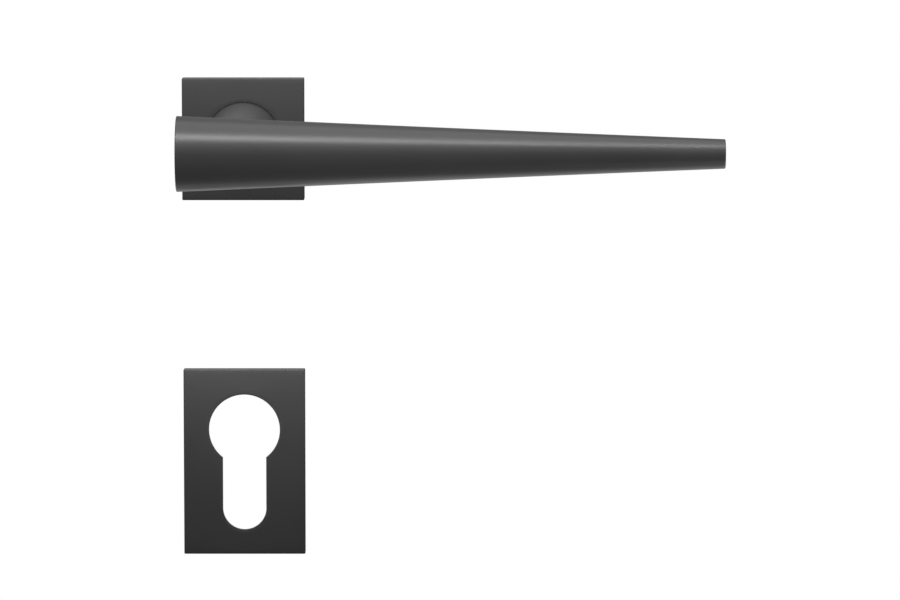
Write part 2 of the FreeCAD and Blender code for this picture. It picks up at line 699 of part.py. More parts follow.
def make_clip(name, side, plate, height="0"):
    """A bowed leaf: its ends stand in a base plate's pocket, its crown in a cover's groove."""
    body = new_body(name, z=height)
    if side == "left":
        body.Placement.Rotation = FreeCAD.Rotation(FreeCAD.Vector(0, 1, 0), 180)
    bottom = f"({plate_half} - Sizes.clip_pocket)"
    rise = f"({clip_groove_reach()} - Sizes.clip_gap - Sizes.clip_strip - {bottom})"
    inner = f"((Sizes.clip_span ^ 2 / 4 + {rise} ^ 2) / (2 * {rise}))"
    outer = f"({inner} + Sizes.clip_strip)"
    centre = f"({bottom} + {rise} - {inner})"
    half_angle = degrees_of(f"Sizes.clip_span / 2 / {inner}")
    leaf = door_sketch(body, f"{name}_leaf", f"-{plate} + Sizes.clip_gap")
    draw_sector(leaf, inner, outer, minus(half_angle), half_angle, centre)
    pad_into_door(body, leaf, f"{plate} - Sizes.clip_floor - 2 * Sizes.clip_gap")


def make_screws(name, plate, place, drop, copies, z="0"):
    """Countersunk wood screws with a cross recess: one is made at the left, then copied."""
    body = new_body(name, z=z)
    left = minus(place)
    head = "Sizes.screw_head_diameter / 2"
    neck = "Sizes.screw_neck_diameter / 2"
    shank = "Sizes.screw_diameter / 2"
    front = minus(plate)
    shank_start = f"({front} + Sizes.screw_neck)"
    end = f"({front} + Sizes.screw_length)"

    section = new_sketch(body, "XY_Plane", f"{name}_section", drop)
    draw_outline(section, [
        (left, front), (f"{left} + {head}", front),
        (f"{left} + {neck}", f"{front} + {head} - {neck}"),
        (f"{left} + {neck}", f"{shank_start} - {shank} + {neck}"),
        (f"{left} + {shank}", shank_start),
        (f"{left} + {shank}", f"{end} - Sizes.screw_point"), (left, end)])
    turn_on_lathe(body, section, "Edge7")

    thread_start = f"({front} + Sizes.screw_shank)"
    groove_end = f"({thread_start} + Sizes.screw_thread_width)"
    thread = new_sketch(body, "XY_Plane", f"{name}_thread", drop)
    draw_outline(thread, [
        (f"{left} + {shank} + Sizes.thread_gap", thread_start),
        (f"{left} + {shank} - Sizes.screw_thread_depth", f"({thread_start} + {groove_end}) / 2"),
        (f"{left} + {shank} + Sizes.thread_gap", groove_end)])
    thread.addGeometry(Part.LineSegment(vector((left, front)), vector((left, end))), True)
    hold_point(thread, 3, 1, (left, front))
    hold_point(thread, 3, 2, (left, end))
    turn = cut_on_lathe(body, thread, "Axis0")
    threaded = value("Sizes.screw_length - Sizes.screw_shank - Sizes.screw_point")
    copy_in_row(body, [turn], (thread, ["V_Axis"]), "Sizes.screw_pitch",
                int(threaded / value("Sizes.screw_pitch")))

    long_half = "Sizes.screw_cross / 2"
    slot_half = "Sizes.screw_cross_slot / 2"
    cross = (("across", long_half, slot_half), ("upright", slot_half, long_half))
    for label, half_x, half_z in cross:
        slot = door_sketch(body, f"{name}_slot_{label}", front)
        draw_rectangle(slot, f"{left} - {half_x}", f"{left} + {half_x}",
                       f"{drop} - {half_z}", f"{drop} + {half_z}")
        cut_against_normal(body, slot, "Sizes.screw_cross_depth")

    for axis in copies:
        copy_in_row(body, None, (section, [axis]), f"2 * {place}", 2)


# ---- Bearing, spring and rings --------------------------------------------------------------


def make_ring(name, front, thickness, inner, outer):
    """A flat ring about the spindle axis."""
    body = new_body(name)
    section = door_sketch(body, f"{name}_section", front)
    draw_circle(section, outer)
    draw_circle(section, inner)
    pad_into_door(body, section, thickness)
    return body


def make_hub_bush():
    """The bearing: a sleeve in the base plate with a flange in front of it."""
    body = new_body("hub_bush")
    section = lathe_sketch(body, "bush_section")
    draw_outline(section, [
        (bush_bore, flange_front), (flange_radius, flange_front),
        (flange_radius, "-Sizes.rose_plate"), (bush_radius, "-Sizes.rose_plate"),
        (bush_radius, "Sizes.bush_depth"), (bush_bore, "Sizes.bush_depth")])
    turn_on_lathe(body, section)


def make_retaining_ring(name, front):
    """A ring that springs into a groove of the stem, open at the top, with two ears."""
    inner = f"({stem_radius} - Sizes.ring_groove + Sizes.ring_gap)"
    outer = f"({stem_radius} + Sizes.ring_width)"
    ear_centre = f"({outer} - Sizes.ring_ear_inset)"
    half_opening = degrees_of(f"Sizes.ring_opening / 2 / {stem_radius}")
    ear_angle = f"({half_opening} + {degrees_of(f'Sizes.ring_ear / {ear_centre}')})"
    body = make_ring(name, front, "Sizes.ring_thickness", inner, outer)
    for label, side in (("right", "-"), ("left", "+")):
        centre = polar(ear_centre, f"(90 {side} {ear_angle})")
        ear = door_sketch(body, f"{name}_ear_{label}", front)
        draw_circle(ear, "Sizes.ring_ear", centre)
        pad_into_door(body, ear, "Sizes.ring_thickness")
        eye = door_sketch(body, f"{name}_eye_{label}", front)
        draw_circle(eye, "Sizes.ring_eye", centre)
        cut_against_normal(body, eye, "Sizes.ring_thickness")
    opening = door_sketch(body, f"{name}_opening", front)
    draw_sector(opening, f"({inner} - Sizes.past_metal)", f"({outer} + Sizes.past_metal)",
                f"(90 - {half_opening})", f"(90 + {half_opening})")
    cut_against_normal(body, opening, "Sizes.ring_thickness")


def make_return_spring():
    """The coil: its first end stands out into the housing, its last one into the driver."""
    wire_radius = "(Sizes.spring_wire / 2)"
    rise = f"({coil_pitch} * Sizes.spring_turns)"
    end_angle = "(360 * Sizes.spring_turns)"
    # The straight ends are a hair thinner than the coil, so that they join it cleanly.
    end_radius = f"({wire_radius} - Sizes.coil_gap / 2)"
    # Drawn about +Z with the first end on +X, then turned so that its axis is the spindle's.
    path = doc.addObject("Part::Helix", "spring_path")
    bind(path, {"Pitch": coil_pitch, "Height": rise, "Radius": spring_radius})
    wire = doc.addObject("Part::Circle", "spring_wire_section")
    wire.Placement.Rotation = FreeCAD.Rotation(FreeCAD.Vector(1, 0, 0), 90)
    bind(wire, {"Radius": wire_radius, "Placement.Base.x": spring_radius})
    doc.recompute()
    coil = doc.addObject("Part::Sweep", "spring_coil")
    coil.Sections = [wire]
    coil.Spine = (path, [f"Edge{place + 1}" for place in range(len(path.Shape.Edges))])
    coil.Solid = True
    coil.Frenet = True
    head = doc.addObject("Part::Cylinder", "spring_head")
    head.Placement.Rotation = FreeCAD.Rotation(FreeCAD.Vector(0, 1, 0), 90)
    head_start = f"({spring_radius} - {wire_radius})"
    bind(head, {"Radius": end_radius, "Placement.Base.x": head_start,
                "Height": f"{housing_radius} - Sizes.slot_gap - {head_start}"})
    tail = doc.addObject("Part::Cylinder", "spring_tail")
    tail_start = f"({rise} - Sizes.joint_overlap)"
    tail_end = f"({rise} + {wire_radius} + Sizes.spring_end_gap + Sizes.spring_tail_depth)"
    bind(tail, {"Radius": end_radius,
                "Height": f"{tail_end} - {tail_start}",
                "Placement.Base.x": f"{spring_radius} * cos({end_angle})",
                "Placement.Base.y": f"{spring_radius} * sin({end_angle})",
                "Placement.Base.z": tail_start})
    tailed = doc.addObject("Part::Fuse", "spring_coil_and_tail")
    tailed.Base, tailed.Tool = coil, tail
    spring = doc.addObject("Part::Fuse", "return_spring")
    spring.Label = "return_spring"
    spring.Base, spring.Tool = tailed, head
    spring.Placement.Rotation = FreeCAD.Rotation(FreeCAD.Vector(1, 1, 1), -120)
    bind(spring, {"Placement.Base.y": f"{spring_front} + {wire_radius}"})
    pieces.append(spring)


def make_driver_disc():
    """The disc on the stem's flats: it takes the spring's end, and its lug meets the stops."""
    rim = f"({housing_bore} - Sizes.bore_gap)"
    body = make_ring("driver_disc", driver_front, "Sizes.driver_thickness",
                     f"{stem_radius} + Sizes.ring_gap", rim)
    flat = f"({stem_flat} + Sizes.ring_gap)"
    land_half = f"(sqrt({stem_radius} ^ 2 - {flat} ^ 2) + Sizes.joint_overlap)"
    land_end = f"({stem_radius} + Sizes.joint_overlap)"
    lands = door_sketch(body, "driver_lands", driver_front)
    draw_rectangle(lands, minus(land_half), land_half, flat, land_end)
    draw_rectangle(lands, minus(land_half), land_half, minus(land_end), minus(flat))
    pad_into_door(body, lands, "Sizes.driver_thickness")

    lug = door_sketch(body, "driver_lug", driver_front)
    draw_sector(lug, f"({rim} - Sizes.joint_overlap)",
                f"({housing_radius} - Sizes.bore_gap)",
                f"({lug_rest} - Sizes.driver_lug_angle / 2)",
                f"({lug_rest} + Sizes.driver_lug_angle / 2)")
    pad_into_door(body, lug, "Sizes.driver_thickness")

    slot_half = "(Sizes.spring_wire / 2 + Sizes.slot_gap)"
    half_angle = degrees_of(f"{slot_half} / {spring_radius}")
    slot = door_sketch(body, "driver_spring_slot", driver_front)
    draw_sector(slot, f"({spring_radius} - {slot_half})", f"({rim} + Sizes.past_metal)",
                f"({spring_tail} - {half_angle})", f"({spring_tail} + {half_angle})")
    cut_against_normal(body, slot, "Sizes.driver_thickness")


def make_wave_washer():
    """A ring with three waves between the driver and its retaining ring."""
    waves = 3
    steps_per_wave = 12
    steps = waves * steps_per_wave
    inner = value(f"{stem_radius} + Sizes.bore_gap")
    outer = inner + value("Sizes.washer_width")
    middle = value(f"{wave_front} + Sizes.wave_height / 2")
    strip = value("Sizes.wave_strip")
    swing = (value("Sizes.wave_height") - strip) / 2

    def rim(radius, side):
        curve = Part.BSplineCurve()
        angles = [2 * math.pi * step / steps for step in range(steps)]
        curve.interpolate([
            FreeCAD.Vector(radius * math.cos(angle),
                           middle + swing * math.cos(waves * angle) + side * strip / 2,
                           radius * math.sin(angle)) for angle in angles], PeriodicFlag=True)
        return curve.toShape()

    corners = [rim(inner, -1), rim(outer, -1), rim(outer, 1), rim(inner, 1)]
    faces = [Part.makeRuledSurface(corners[place - 1], corners[place]) for place in range(4)]
    ring = Part.Solid(Part.Shell(faces))
    if ring.Volume < 0:
        ring.reverse()
    washer = doc.addObject("Part::Feature", "wave_washer")
    washer.Label = "wave_washer"
    washer.Shape = ring
    washer.Placement = FreeCAD.Placement()
    pieces.append(washer)


# ---- The whole set --------------------------------------------------------------------------


def make_all():
    make_lever_grip()
    make_lever_neck()
    make_neck_stud()
    make_grub_screw()
    make_spindle()
    make_rose_cover()
    make_rose_base()
    make_screws("rose_screws", "Sizes.rose_plate", rose_screw_place, minus(rose_screw_place),
                ("H_Axis", "N_Axis"))
    make_hub_bush()
    make_ring("thrust_washer", washer_front, "Sizes.washer_thickness",
              f"{stem_radius} + Sizes.bore_gap",
              f"{stem_radius} + Sizes.bore_gap + Sizes.washer_width")
    make_retaining_ring("hub_ring", hub_ring_front)
    make_return_spring()
    make_driver_disc()
    make_wave_washer()
    make_retaining_ring("driver_ring", driver_ring_front)
    make_escutcheon_cover()
    make_escutcheon_base()
    make_screws("escutcheon_screws", "Sizes.escutcheon_plate", escutcheon_screw_place,
                "-Sizes.screw_drop", ("H_Axis",), z="-Sizes.handle_to_cylinder")
    for side in ("left", "right"):
        make_clip(f"rose_clip_{side}", side, "Sizes.rose_plate")
        for label, place in (("upper", clip_above), ("lower", clip_below)):
            make_clip(f"escutcheon_clip_{label}_{side}", side, "Sizes.escutcheon_plate",
                      f"{place} - Sizes.handle_to_cylinder")


def check_all():
    """Stops the build if a feature failed or a piece isn't sound."""
    doc.recompute()
    for item in doc.Objects:
        if "Invalid" in item.State or "Error" in item.State:
            raise RuntimeError(f"{item.Label} failed: {item.State}")
    for piece in pieces:
        if piece.Shape.isNull() or not piece.Shape.isValid():
            raise RuntimeError(f"{piece.Label} isn't a valid shape")


def export_all():
    os.makedirs("parts", exist_ok=True)
    for piece in pieces:
        piece.Shape.exportStep(os.path.join("parts", f"{piece.Label}.step"))
        print(f"{piece.Label}: {len(piece.Shape.Solids)} solid, {piece.Shape.Volume:.1f} mm3")


make_all()
check_all()
export_all()
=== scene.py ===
import json
import math

import bmesh
import bpy
import numpy as np
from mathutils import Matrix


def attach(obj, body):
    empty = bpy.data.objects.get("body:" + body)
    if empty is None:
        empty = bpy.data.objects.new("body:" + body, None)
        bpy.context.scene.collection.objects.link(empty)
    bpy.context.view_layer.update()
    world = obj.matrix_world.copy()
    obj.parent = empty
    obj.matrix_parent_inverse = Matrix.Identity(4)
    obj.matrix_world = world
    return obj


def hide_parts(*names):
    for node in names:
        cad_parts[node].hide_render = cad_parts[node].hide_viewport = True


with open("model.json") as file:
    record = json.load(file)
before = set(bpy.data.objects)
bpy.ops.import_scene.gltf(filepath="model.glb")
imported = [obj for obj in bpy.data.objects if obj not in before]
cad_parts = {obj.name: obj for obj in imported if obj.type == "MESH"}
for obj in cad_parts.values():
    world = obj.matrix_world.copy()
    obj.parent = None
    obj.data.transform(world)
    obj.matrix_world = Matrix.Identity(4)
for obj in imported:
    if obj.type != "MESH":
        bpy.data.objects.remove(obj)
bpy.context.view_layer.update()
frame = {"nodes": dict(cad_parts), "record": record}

# Lengths are in millimetres until a mesh is made. +X runs along the grip to its tip, +Y into the door
# and +Z up; the spindle turns about the Y axis.
mm = 0.001
fullTurn = 2 * math.pi
scene = bpy.context.scene
print("the frame is loaded")


# Grids and meshes

def xyz(x, y, z):
    # points from three coordinates, each a number or an array that broadcasts with the others
    return np.stack(np.broadcast_arrays(x, y, z), axis=-1)


def shares(count):
    # even shares from the first step up to the whole, as a column
    return np.linspace(0, 1, count + 1)[1:, None]


def gridFaces(rows, columns, wrapRows=False):
    # the four-sided faces between neighbouring rows and columns; the last column meets the first one
    row = np.arange(rows if wrapRows else rows - 1)[:, None]
    column = np.arange(columns)[None, :]
    below = (row + 1) % rows
    beside = (column + 1) % columns
    upper, lower = row * columns, below * columns
    corners = [upper + column, upper + beside, lower + beside, lower + column]
    return np.stack(corners, axis=-1).reshape(-1, 4)


mergeWithin, dropUnder, edgeGain = 0.0005, 0.0002, 9


def makeMesh(name, points, faces):
    # doubled corners merge, so that poles and seams close, and all faces then turn outwards
    mesh = bpy.data.meshes.new(name)
    mesh.from_pydata((points.reshape(-1, 3) * mm).tolist(), [], faces.tolist())
    work = bmesh.new()
    work.from_mesh(mesh)
    bmesh.ops.remove_doubles(work, verts=work.verts, dist=mergeWithin * mm)
    bmesh.ops.dissolve_degenerate(work, edges=work.edges, dist=dropUnder * mm)
    bmesh.ops.recalc_face_normals(work, faces=work.faces)
    work.to_mesh(mesh)
    work.free()
    mesh.validate()
    return mesh


def markEdges(mesh):
    # edge = how far the faces round a point lean apart: a gain times one minus their mean normal's length
    total = len(mesh.loops)
    loopVertex = np.empty(total, dtype=np.int64)
    mesh.loops.foreach_get("vertex_index", loopVertex)
    loopCount = np.empty(len(mesh.polygons), dtype=np.int64)
    mesh.polygons.foreach_get("loop_total", loopCount)
    normals = np.empty(len(mesh.polygons) * 3)
    mesh.polygons.foreach_get("normal", normals)
    loopNormal = np.repeat(normals.reshape(-1, 3), loopCount, axis=0)
    summed = np.zeros((len(mesh.vertices), 3))
    np.add.at(summed, loopVertex, loopNormal)
    faceCount = np.maximum(np.bincount(loopVertex, minlength=len(mesh.vertices)), 1)
    lean = 1 - np.linalg.norm(summed, axis=1) / faceCount
    attribute = mesh.attributes.new("edge", "FLOAT", "POINT")
    attribute.data.foreach_set("value", np.clip(lean * edgeGain, 0, 1).astype(np.float32))


def addObject(name, data):
    made = bpy.data.objects.new(name, data)
    scene.collection.objects.link(made)
    return made


def turned(radius, along, angles):
    # the point at radius r, angle a and place y is (r cos a, y, r sin a)
    return xyz(radius * np.cos(angles), along, radius * np.sin(angles))


def roundedPath(corners, radius, steps=5):
    # each corner gives way to an arc: from the arc's centre its points swing evenly between the two sides
    corner = np.asarray(corners, dtype=float)
    radius = np.full(len(corner), float(radius))
    before = np.roll(corner, 1, axis=0) - corner
    after = np.roll(corner, -1, axis=0) - corner
    before /= np.linalg.norm(before, axis=1)[:, None]
    after /= np.linalg.norm(after, axis=1)[:, None]
    half = np.arccos(np.clip((before * after).sum(axis=1), -1, 1)) / 2
    reach = radius / np.tan(half)
    middle = before + after
    middle /= np.maximum(np.linalg.norm(middle, axis=1), 1e-9)[:, None]
    centre = corner + middle * (radius / np.sin(half))[:, None]
    first = corner + before * reach[:, None] - centre
    last = corner + after * reach[:, None] - centre
    swing = (math.pi - 2 * half)[:, None, None]
    share = np.linspace(0, 1, steps)[None, :, None]
    arc = np.sin((1 - share) * swing) * first[:, None] + np.sin(share * swing) * last[:, None]
    return (centre[:, None] + arc / np.sin(swing)).reshape(-1, 2)


def evenAngles(count):
    return np.arange(count) * fullTurn / count


def loopRound(rowLow, rowHigh, columnLow, columnHigh):
    # the grid corners round a block of cells, in order
    down = np.arange(rowLow, rowHigh)
    across = np.arange(columnLow, columnHigh)
    rows = [down, across * 0 + rowHigh, down[::-1] + 1, across * 0 + rowLow]
    columns = [down * 0 + columnLow, across, down * 0 + columnHigh, across[::-1] + 1]
    return np.concatenate(rows), np.concatenate(columns)


def outsideBlock(faces, columns, rowLow, rowHigh, columnLow, columnHigh):
    # true for the faces of a whole grid that lie outside the block
    row, column = np.divmod(np.arange(len(faces)), columns)
    return (row < rowLow) | (row >= rowHigh) | (column < columnLow) | (column >= columnHigh)


def continueLoop(points, loop, rings):
    # the surface goes on from a loop of points through rings of as many points
    count, width = rings.shape[:2]
    index = np.vstack([loop[None, :], len(points) + np.arange(count * width).reshape(count, width)])
    after = np.roll(index, -1, axis=1)
    faces = np.stack([index[:-1], after[:-1], after[1:], index[1:]], axis=-1).reshape(-1, 4)
    return np.vstack([points, rings.reshape(-1, 3)]), faces


# Finishes

def newGroup(name, inputs, outputs):
    group = bpy.data.node_groups.new(name, "ShaderNodeTree")
    for label, kind, start in inputs:
        made = group.interface.new_socket(label, in_out="INPUT", socket_type="NodeSocket" + kind)
        if start is not None:
            made.default_value = start
    for label, kind in outputs:
        group.interface.new_socket(label, in_out="OUTPUT", socket_type="NodeSocket" + kind)
    return group, group.nodes.new("NodeGroupInput"), group.nodes.new("NodeGroupOutput")


def addNode(tree, kind, settings=(), values=()):
    node = tree.nodes.new(kind)
    for setting, content in dict(settings).items():
        setattr(node, setting, content)
    for socket, content in dict(values).items():
        node.inputs[socket].default_value = content
    return node


def linkAll(tree, *links):
    # each link is a giving socket, the node that takes it and that node's socket
    for giver, node, socket in links:
        tree.links.new(giver, node.inputs[socket])


def addMath(tree, operation, first, second, clamp=False):
    # first and second are sockets or plain numbers
    node = addNode(tree, "ShaderNodeMath", {"operation": operation, "use_clamp": clamp})
    for place, part in enumerate((first, second)):
        if isinstance(part, (int, float)):
            node.inputs[place].default_value = part
        else:
            tree.links.new(part, node.inputs[place])
    return node.outputs[0]


def makePowderGrain():
    # two sizes of noise: the fine one lifts the surface, both vary the roughness about its middle value
    group, given, result = newGroup(
        "powderGrain",
        [("Position", "Vector", None), ("Fine Scale", "Float", 2600.0),
         ("Broad Scale", "Float", 60.0), ("Roughness", "Float", 0.4),
         ("Spread", "Float", 0.06)],
        [("Roughness", "Float"), ("Height", "Float"), ("Broad", "Float")])
    fine = addNode(group, "ShaderNodeTexNoise", {}, {"Detail": 3.0, "Roughness": 0.55})
    broad = addNode(group, "ShaderNodeTexNoise", {}, {"Detail": 4.0, "Roughness": 0.5})
    for noise, scale in ((fine, "Fine Scale"), (broad, "Broad Scale")):
        linkAll(group, (given.outputs["Position"], noise, "Vector"),
                (given.outputs[scale], noise, "Scale"))
    centredFine = addMath(group, "SUBTRACT", fine.outputs["Fac"], 0.5)
    centredBroad = addMath(group, "SUBTRACT", broad.outputs["Fac"], 0.5)
    both = addMath(group, "ADD", addMath(group, "MULTIPLY", centredFine, 0.6), centredBroad)
    change = addMath(group, "MULTIPLY", both, given.outputs["Spread"])
    roughness = addMath(group, "ADD", given.outputs["Roughness"], change, True)
    linkAll(group, (roughness, result, "Roughness"), (fine.outputs["Fac"], result, "Height"),
            (broad.outputs["Fac"], result, "Broad"))
    return group


def makeEdgeWearAndHighlight():
    # wear and painted highlight = the mesh's edge mark times a noise that breaks it up, times the amount;
    # the colour slides with it towards a lighter one, partly edge wear and partly a painted highlight on
    # every edge, and the roughness towards the worn one
    group, given, result = newGroup(
        "edgeWearAndHighlight",
        [("Position", "Vector", None), ("Colour", "Color", (0.5, 0.5, 0.5, 1)),
         ("Worn Colour", "Color", (0.8, 0.8, 0.8, 1)), ("Roughness", "Float", 0.4),
         ("Worn Roughness", "Float", 0.3), ("Amount", "Float", 0.3)],
        [("Colour", "Color"), ("Roughness", "Float")])
    # the edge mark picks out every rounded edge, where the lighter colour is partly wear and partly a painted
    # highlight
    mark = addNode(group, "ShaderNodeAttribute", {"attribute_name": "edge"})
    broken = addNode(group, "ShaderNodeTexNoise", {}, {"Scale": 420.0, "Detail": 3.0})
    patchy = addNode(group, "ShaderNodeMapRange", {}, {"From Min": 0.35, "From Max": 0.65})
    linkAll(group, (given.outputs["Position"], broken, "Vector"), (broken.outputs["Fac"], patchy, "Value"))
    marked = addMath(group, "MULTIPLY", mark.outputs["Fac"], patchy.outputs["Result"])
    wearAndHighlight = addMath(group, "MULTIPLY", marked, given.outputs["Amount"], True)
    for quality, kind in (("Colour", "RGBA"), ("Roughness", "FLOAT")):
        slide = addNode(group, "ShaderNodeMix", {"data_type": kind})
        linkAll(group, (wearAndHighlight, slide, "Factor"), (given.outputs[quality], slide, "A"),
                (given.outputs["Worn " + quality], slide, "B"),
                (slide.outputs["Result"], result, quality))
    return group


def makeToneDrift():
    # the colour slides between two tones with the broad noise
    group, given, result = newGroup(
        "toneDrift",
        [("Broad", "Float", 0.5), ("First Tone", "Color", (0.5, 0.5, 0.5, 1)),
         ("Second Tone", "Color", (0.6, 0.6, 0.6, 1))],
        [("Colour", "Color")])
    spread = addNode(group, "ShaderNodeMapRange", {"interpolation_type": "SMOOTHSTEP"},
                     {"From Min": 0.3, "From Max": 0.7})
    colour = addNode(group, "ShaderNodeMix", {"data_type": "RGBA"})
    linkAll(group, (given.outputs["Broad"], spread, "Value"), (spread.outputs["Result"], colour, "Factor"),
            (given.outputs["First Tone"], colour, "A"), (given.outputs["Second Tone"], colour, "B"),
            (colour.outputs["Result"], result, "Colour"))
    return group


powderGrain = makePowderGrain()
edgeWearAndHighlight = makeEdgeWearAndHighlight()
toneDrift = makeToneDrift()

# what most finishes share; lift is the grain's height in metres, fine and broad are its noise scales
commonLook = {"metallic": 1.0, "shine": 0.5, "wearAndHighlight": 0.5, "bump": 0.3, "lift": 3e-6}
# each finish's edge colour is lighter than its tones: partly edge wear, partly a painted highlight along
# every edge
finishes = {
    "leverCoating": {
        "tones": ((0.031, 0.031, 0.031), (0.035, 0.035, 0.035)), "wornAndHighlight": (0.077, 0.077, 0.077),
        "roughness": 0.36, "spread": 0.05, "wornRoughness": 0.30, "wearAndHighlight": 0.35, "metallic": 0.0,
        "fine": 2600, "broad": 45, "lift": 1.6e-6, "bump": 0.25},
    "plateCoating": {
        "tones": ((0.020, 0.020, 0.020), (0.022, 0.022, 0.022)), "wornAndHighlight": (0.051, 0.051, 0.051),
        "roughness": 0.46, "spread": 0.05, "wornRoughness": 0.36, "wearAndHighlight": 0.45, "metallic": 0.0,
        "shine": 0.35, "fine": 2400, "broad": 55, "lift": 2e-6},
    "castZinc": {
        "tones": ((0.42, 0.43, 0.44), (0.54, 0.55, 0.56)), "wornAndHighlight": (0.72, 0.73, 0.74), "roughness": 0.52,
        "spread": 0.25, "wornRoughness": 0.35, "fine": 1500, "broad": 140, "lift": 1e-5, "bump": 0.5},
    "zincPlating": {
        "tones": ((0.44, 0.455, 0.48), (0.52, 0.52, 0.51)), "wornAndHighlight": (0.66, 0.66, 0.66),
        "roughness": 0.36, "spread": 0.18, "wornRoughness": 0.22, "fine": 1900, "broad": 110},
    "springSteel": {
        "tones": ((0.30, 0.30, 0.31), (0.40, 0.40, 0.41)), "wornAndHighlight": (0.60, 0.60, 0.60),
        "roughness": 0.34, "spread": 0.2, "wornRoughness": 0.25, "wearAndHighlight": 0.4, "fine": 2200, "broad": 180},
    "blackOxide": {
        "tones": ((0.035, 0.036, 0.040), (0.055, 0.054, 0.054)), "wornAndHighlight": (0.30, 0.29, 0.28),
        "roughness": 0.40, "spread": 0.15, "wornRoughness": 0.3, "metallic": 0.6, "fine": 1800,
        "broad": 160},
    "bearingNylon": {
        "tones": ((0.74, 0.73, 0.68), (0.79, 0.78, 0.74)), "wornAndHighlight": (0.86, 0.85, 0.82), "roughness": 0.48,
        "spread": 0.1, "wornRoughness": 0.42, "wearAndHighlight": 0.4, "metallic": 0.0, "fine": 1200, "broad": 90,
        "lift": 4e-6},
}


def makeFinish(name, look):
    material = bpy.data.materials.new(name)
    material.use_nodes = True
    tree = material.node_tree
    shader = tree.nodes["Principled BSDF"]
    shader.inputs["Metallic"].default_value = look["metallic"]
    shader.inputs["Specular IOR Level"].default_value = look["shine"]
    place = addNode(tree, "ShaderNodeTexCoord").outputs["Object"]

    grain = addNode(tree, "ShaderNodeGroup", {"node_tree": powderGrain},
                    {"Fine Scale": look["fine"], "Broad Scale": look["broad"],
                     "Roughness": look["roughness"], "Spread": look["spread"]})
    tone = addNode(tree, "ShaderNodeGroup", {"node_tree": toneDrift},
                   {"First Tone": (*look["tones"][0], 1), "Second Tone": (*look["tones"][1], 1)})
    # the edges lighten in the base colour: partly wear, partly a painted highlight
    wearAndHighlight = addNode(tree, "ShaderNodeGroup", {"node_tree": edgeWearAndHighlight},
                   {"Worn Colour": (*look["wornAndHighlight"], 1), "Worn Roughness": look["wornRoughness"],
                    "Amount": look["wearAndHighlight"]})
    bump = addNode(tree, "ShaderNodeBump", {}, {"Strength": look["bump"], "Distance": look["lift"]})
    linkAll(tree, (place, grain, "Position"), (grain.outputs["Broad"], tone, "Broad"),
            (place, wearAndHighlight, "Position"), (tone.outputs["Colour"], wearAndHighlight, "Colour"),
            (grain.outputs["Roughness"], wearAndHighlight, "Roughness"), (wearAndHighlight.outputs["Colour"], shader, "Base Color"),
            (wearAndHighlight.outputs["Roughness"], shader, "Roughness"),
            (grain.outputs["Height"], bump, "Height"),
            (bump.outputs["Normal"], shader, "Normal"))
    return material


materials = {name: makeFinish(name, commonLook | look) for name, look in finishes.items()}
slotFinish = {"lever_coating": "leverCoating", "plate_coating": "plateCoating", "cast_zinc": "castZinc",
              "zinc_plated_steel": "zincPlating", "spring_steel": "springSteel",
              "black_oxide_steel": "blackOxide", "bearing_nylon": "bearingNylon"}
nodeSlot = {row["node"]: row["material_slot"] for row in frame["record"]["subparts"]}
for nodeName, node in frame["nodes"].items():
    node.data.materials.clear()
    node.data.materials.append(materials[slotFinish[nodeSlot[nodeName]]])


def addPiece(name, points, faces, node, body, sharpAngle=30):
    mesh = makeMesh(name, points, faces)
    mesh.polygons.foreach_set("use_smooth", np.ones(len(mesh.polygons), dtype=bool))
    mesh.set_sharp_from_angle(angle=math.radians(sharpAngle))
    markEdges(mesh)
    slot = nodeSlot[node]
    mesh.materials.append(materials[slotFinish[slot]])
    piece = addObject(name, mesh)
    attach(piece, body)
    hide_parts(node)


def addGrid(name, grid, node, body, sharpAngle=30, wrapRows=False):
    addPiece(name, grid.reshape(-1, 3), gridFaces(*grid.shape[:2], wrapRows), node, body, sharpAngle)


print("the finishes are made")


# Grip: a slim cone, very slightly waisted, with the stud's hole in its door side

grip = {"axisY": -50.0, "bigEnd": -14.0, "tip": 116.0, "bigRadius": 9.0, "tipRadius": 3.5, "waist": 0.09,
        "endRound": 0.25, "columns": 192, "holeRadius": 4.02, "holeFloor": -54.0, "blockX": 6.5,
        "blockCells": 12, "blockColumns": 24, "rowsBefore": 13, "rowsAfter": 130,
        "margin": 1.0}


def gripRadius(x):
    # a straight taper less a shallow parabola that is deepest halfway along
    share = (x - grip["bigEnd"]) / (grip["tip"] - grip["bigEnd"])
    straight = grip["bigRadius"] + (grip["tipRadius"] - grip["bigRadius"]) * share
    return straight - grip["waist"] * 4 * share * (1 - share)


def gripPoint(x, angle, radius):
    # angle 0 faces the door and a quarter turn faces up
    return xyz(x, grip["axisY"] + radius * np.cos(angle), radius * np.sin(angle))


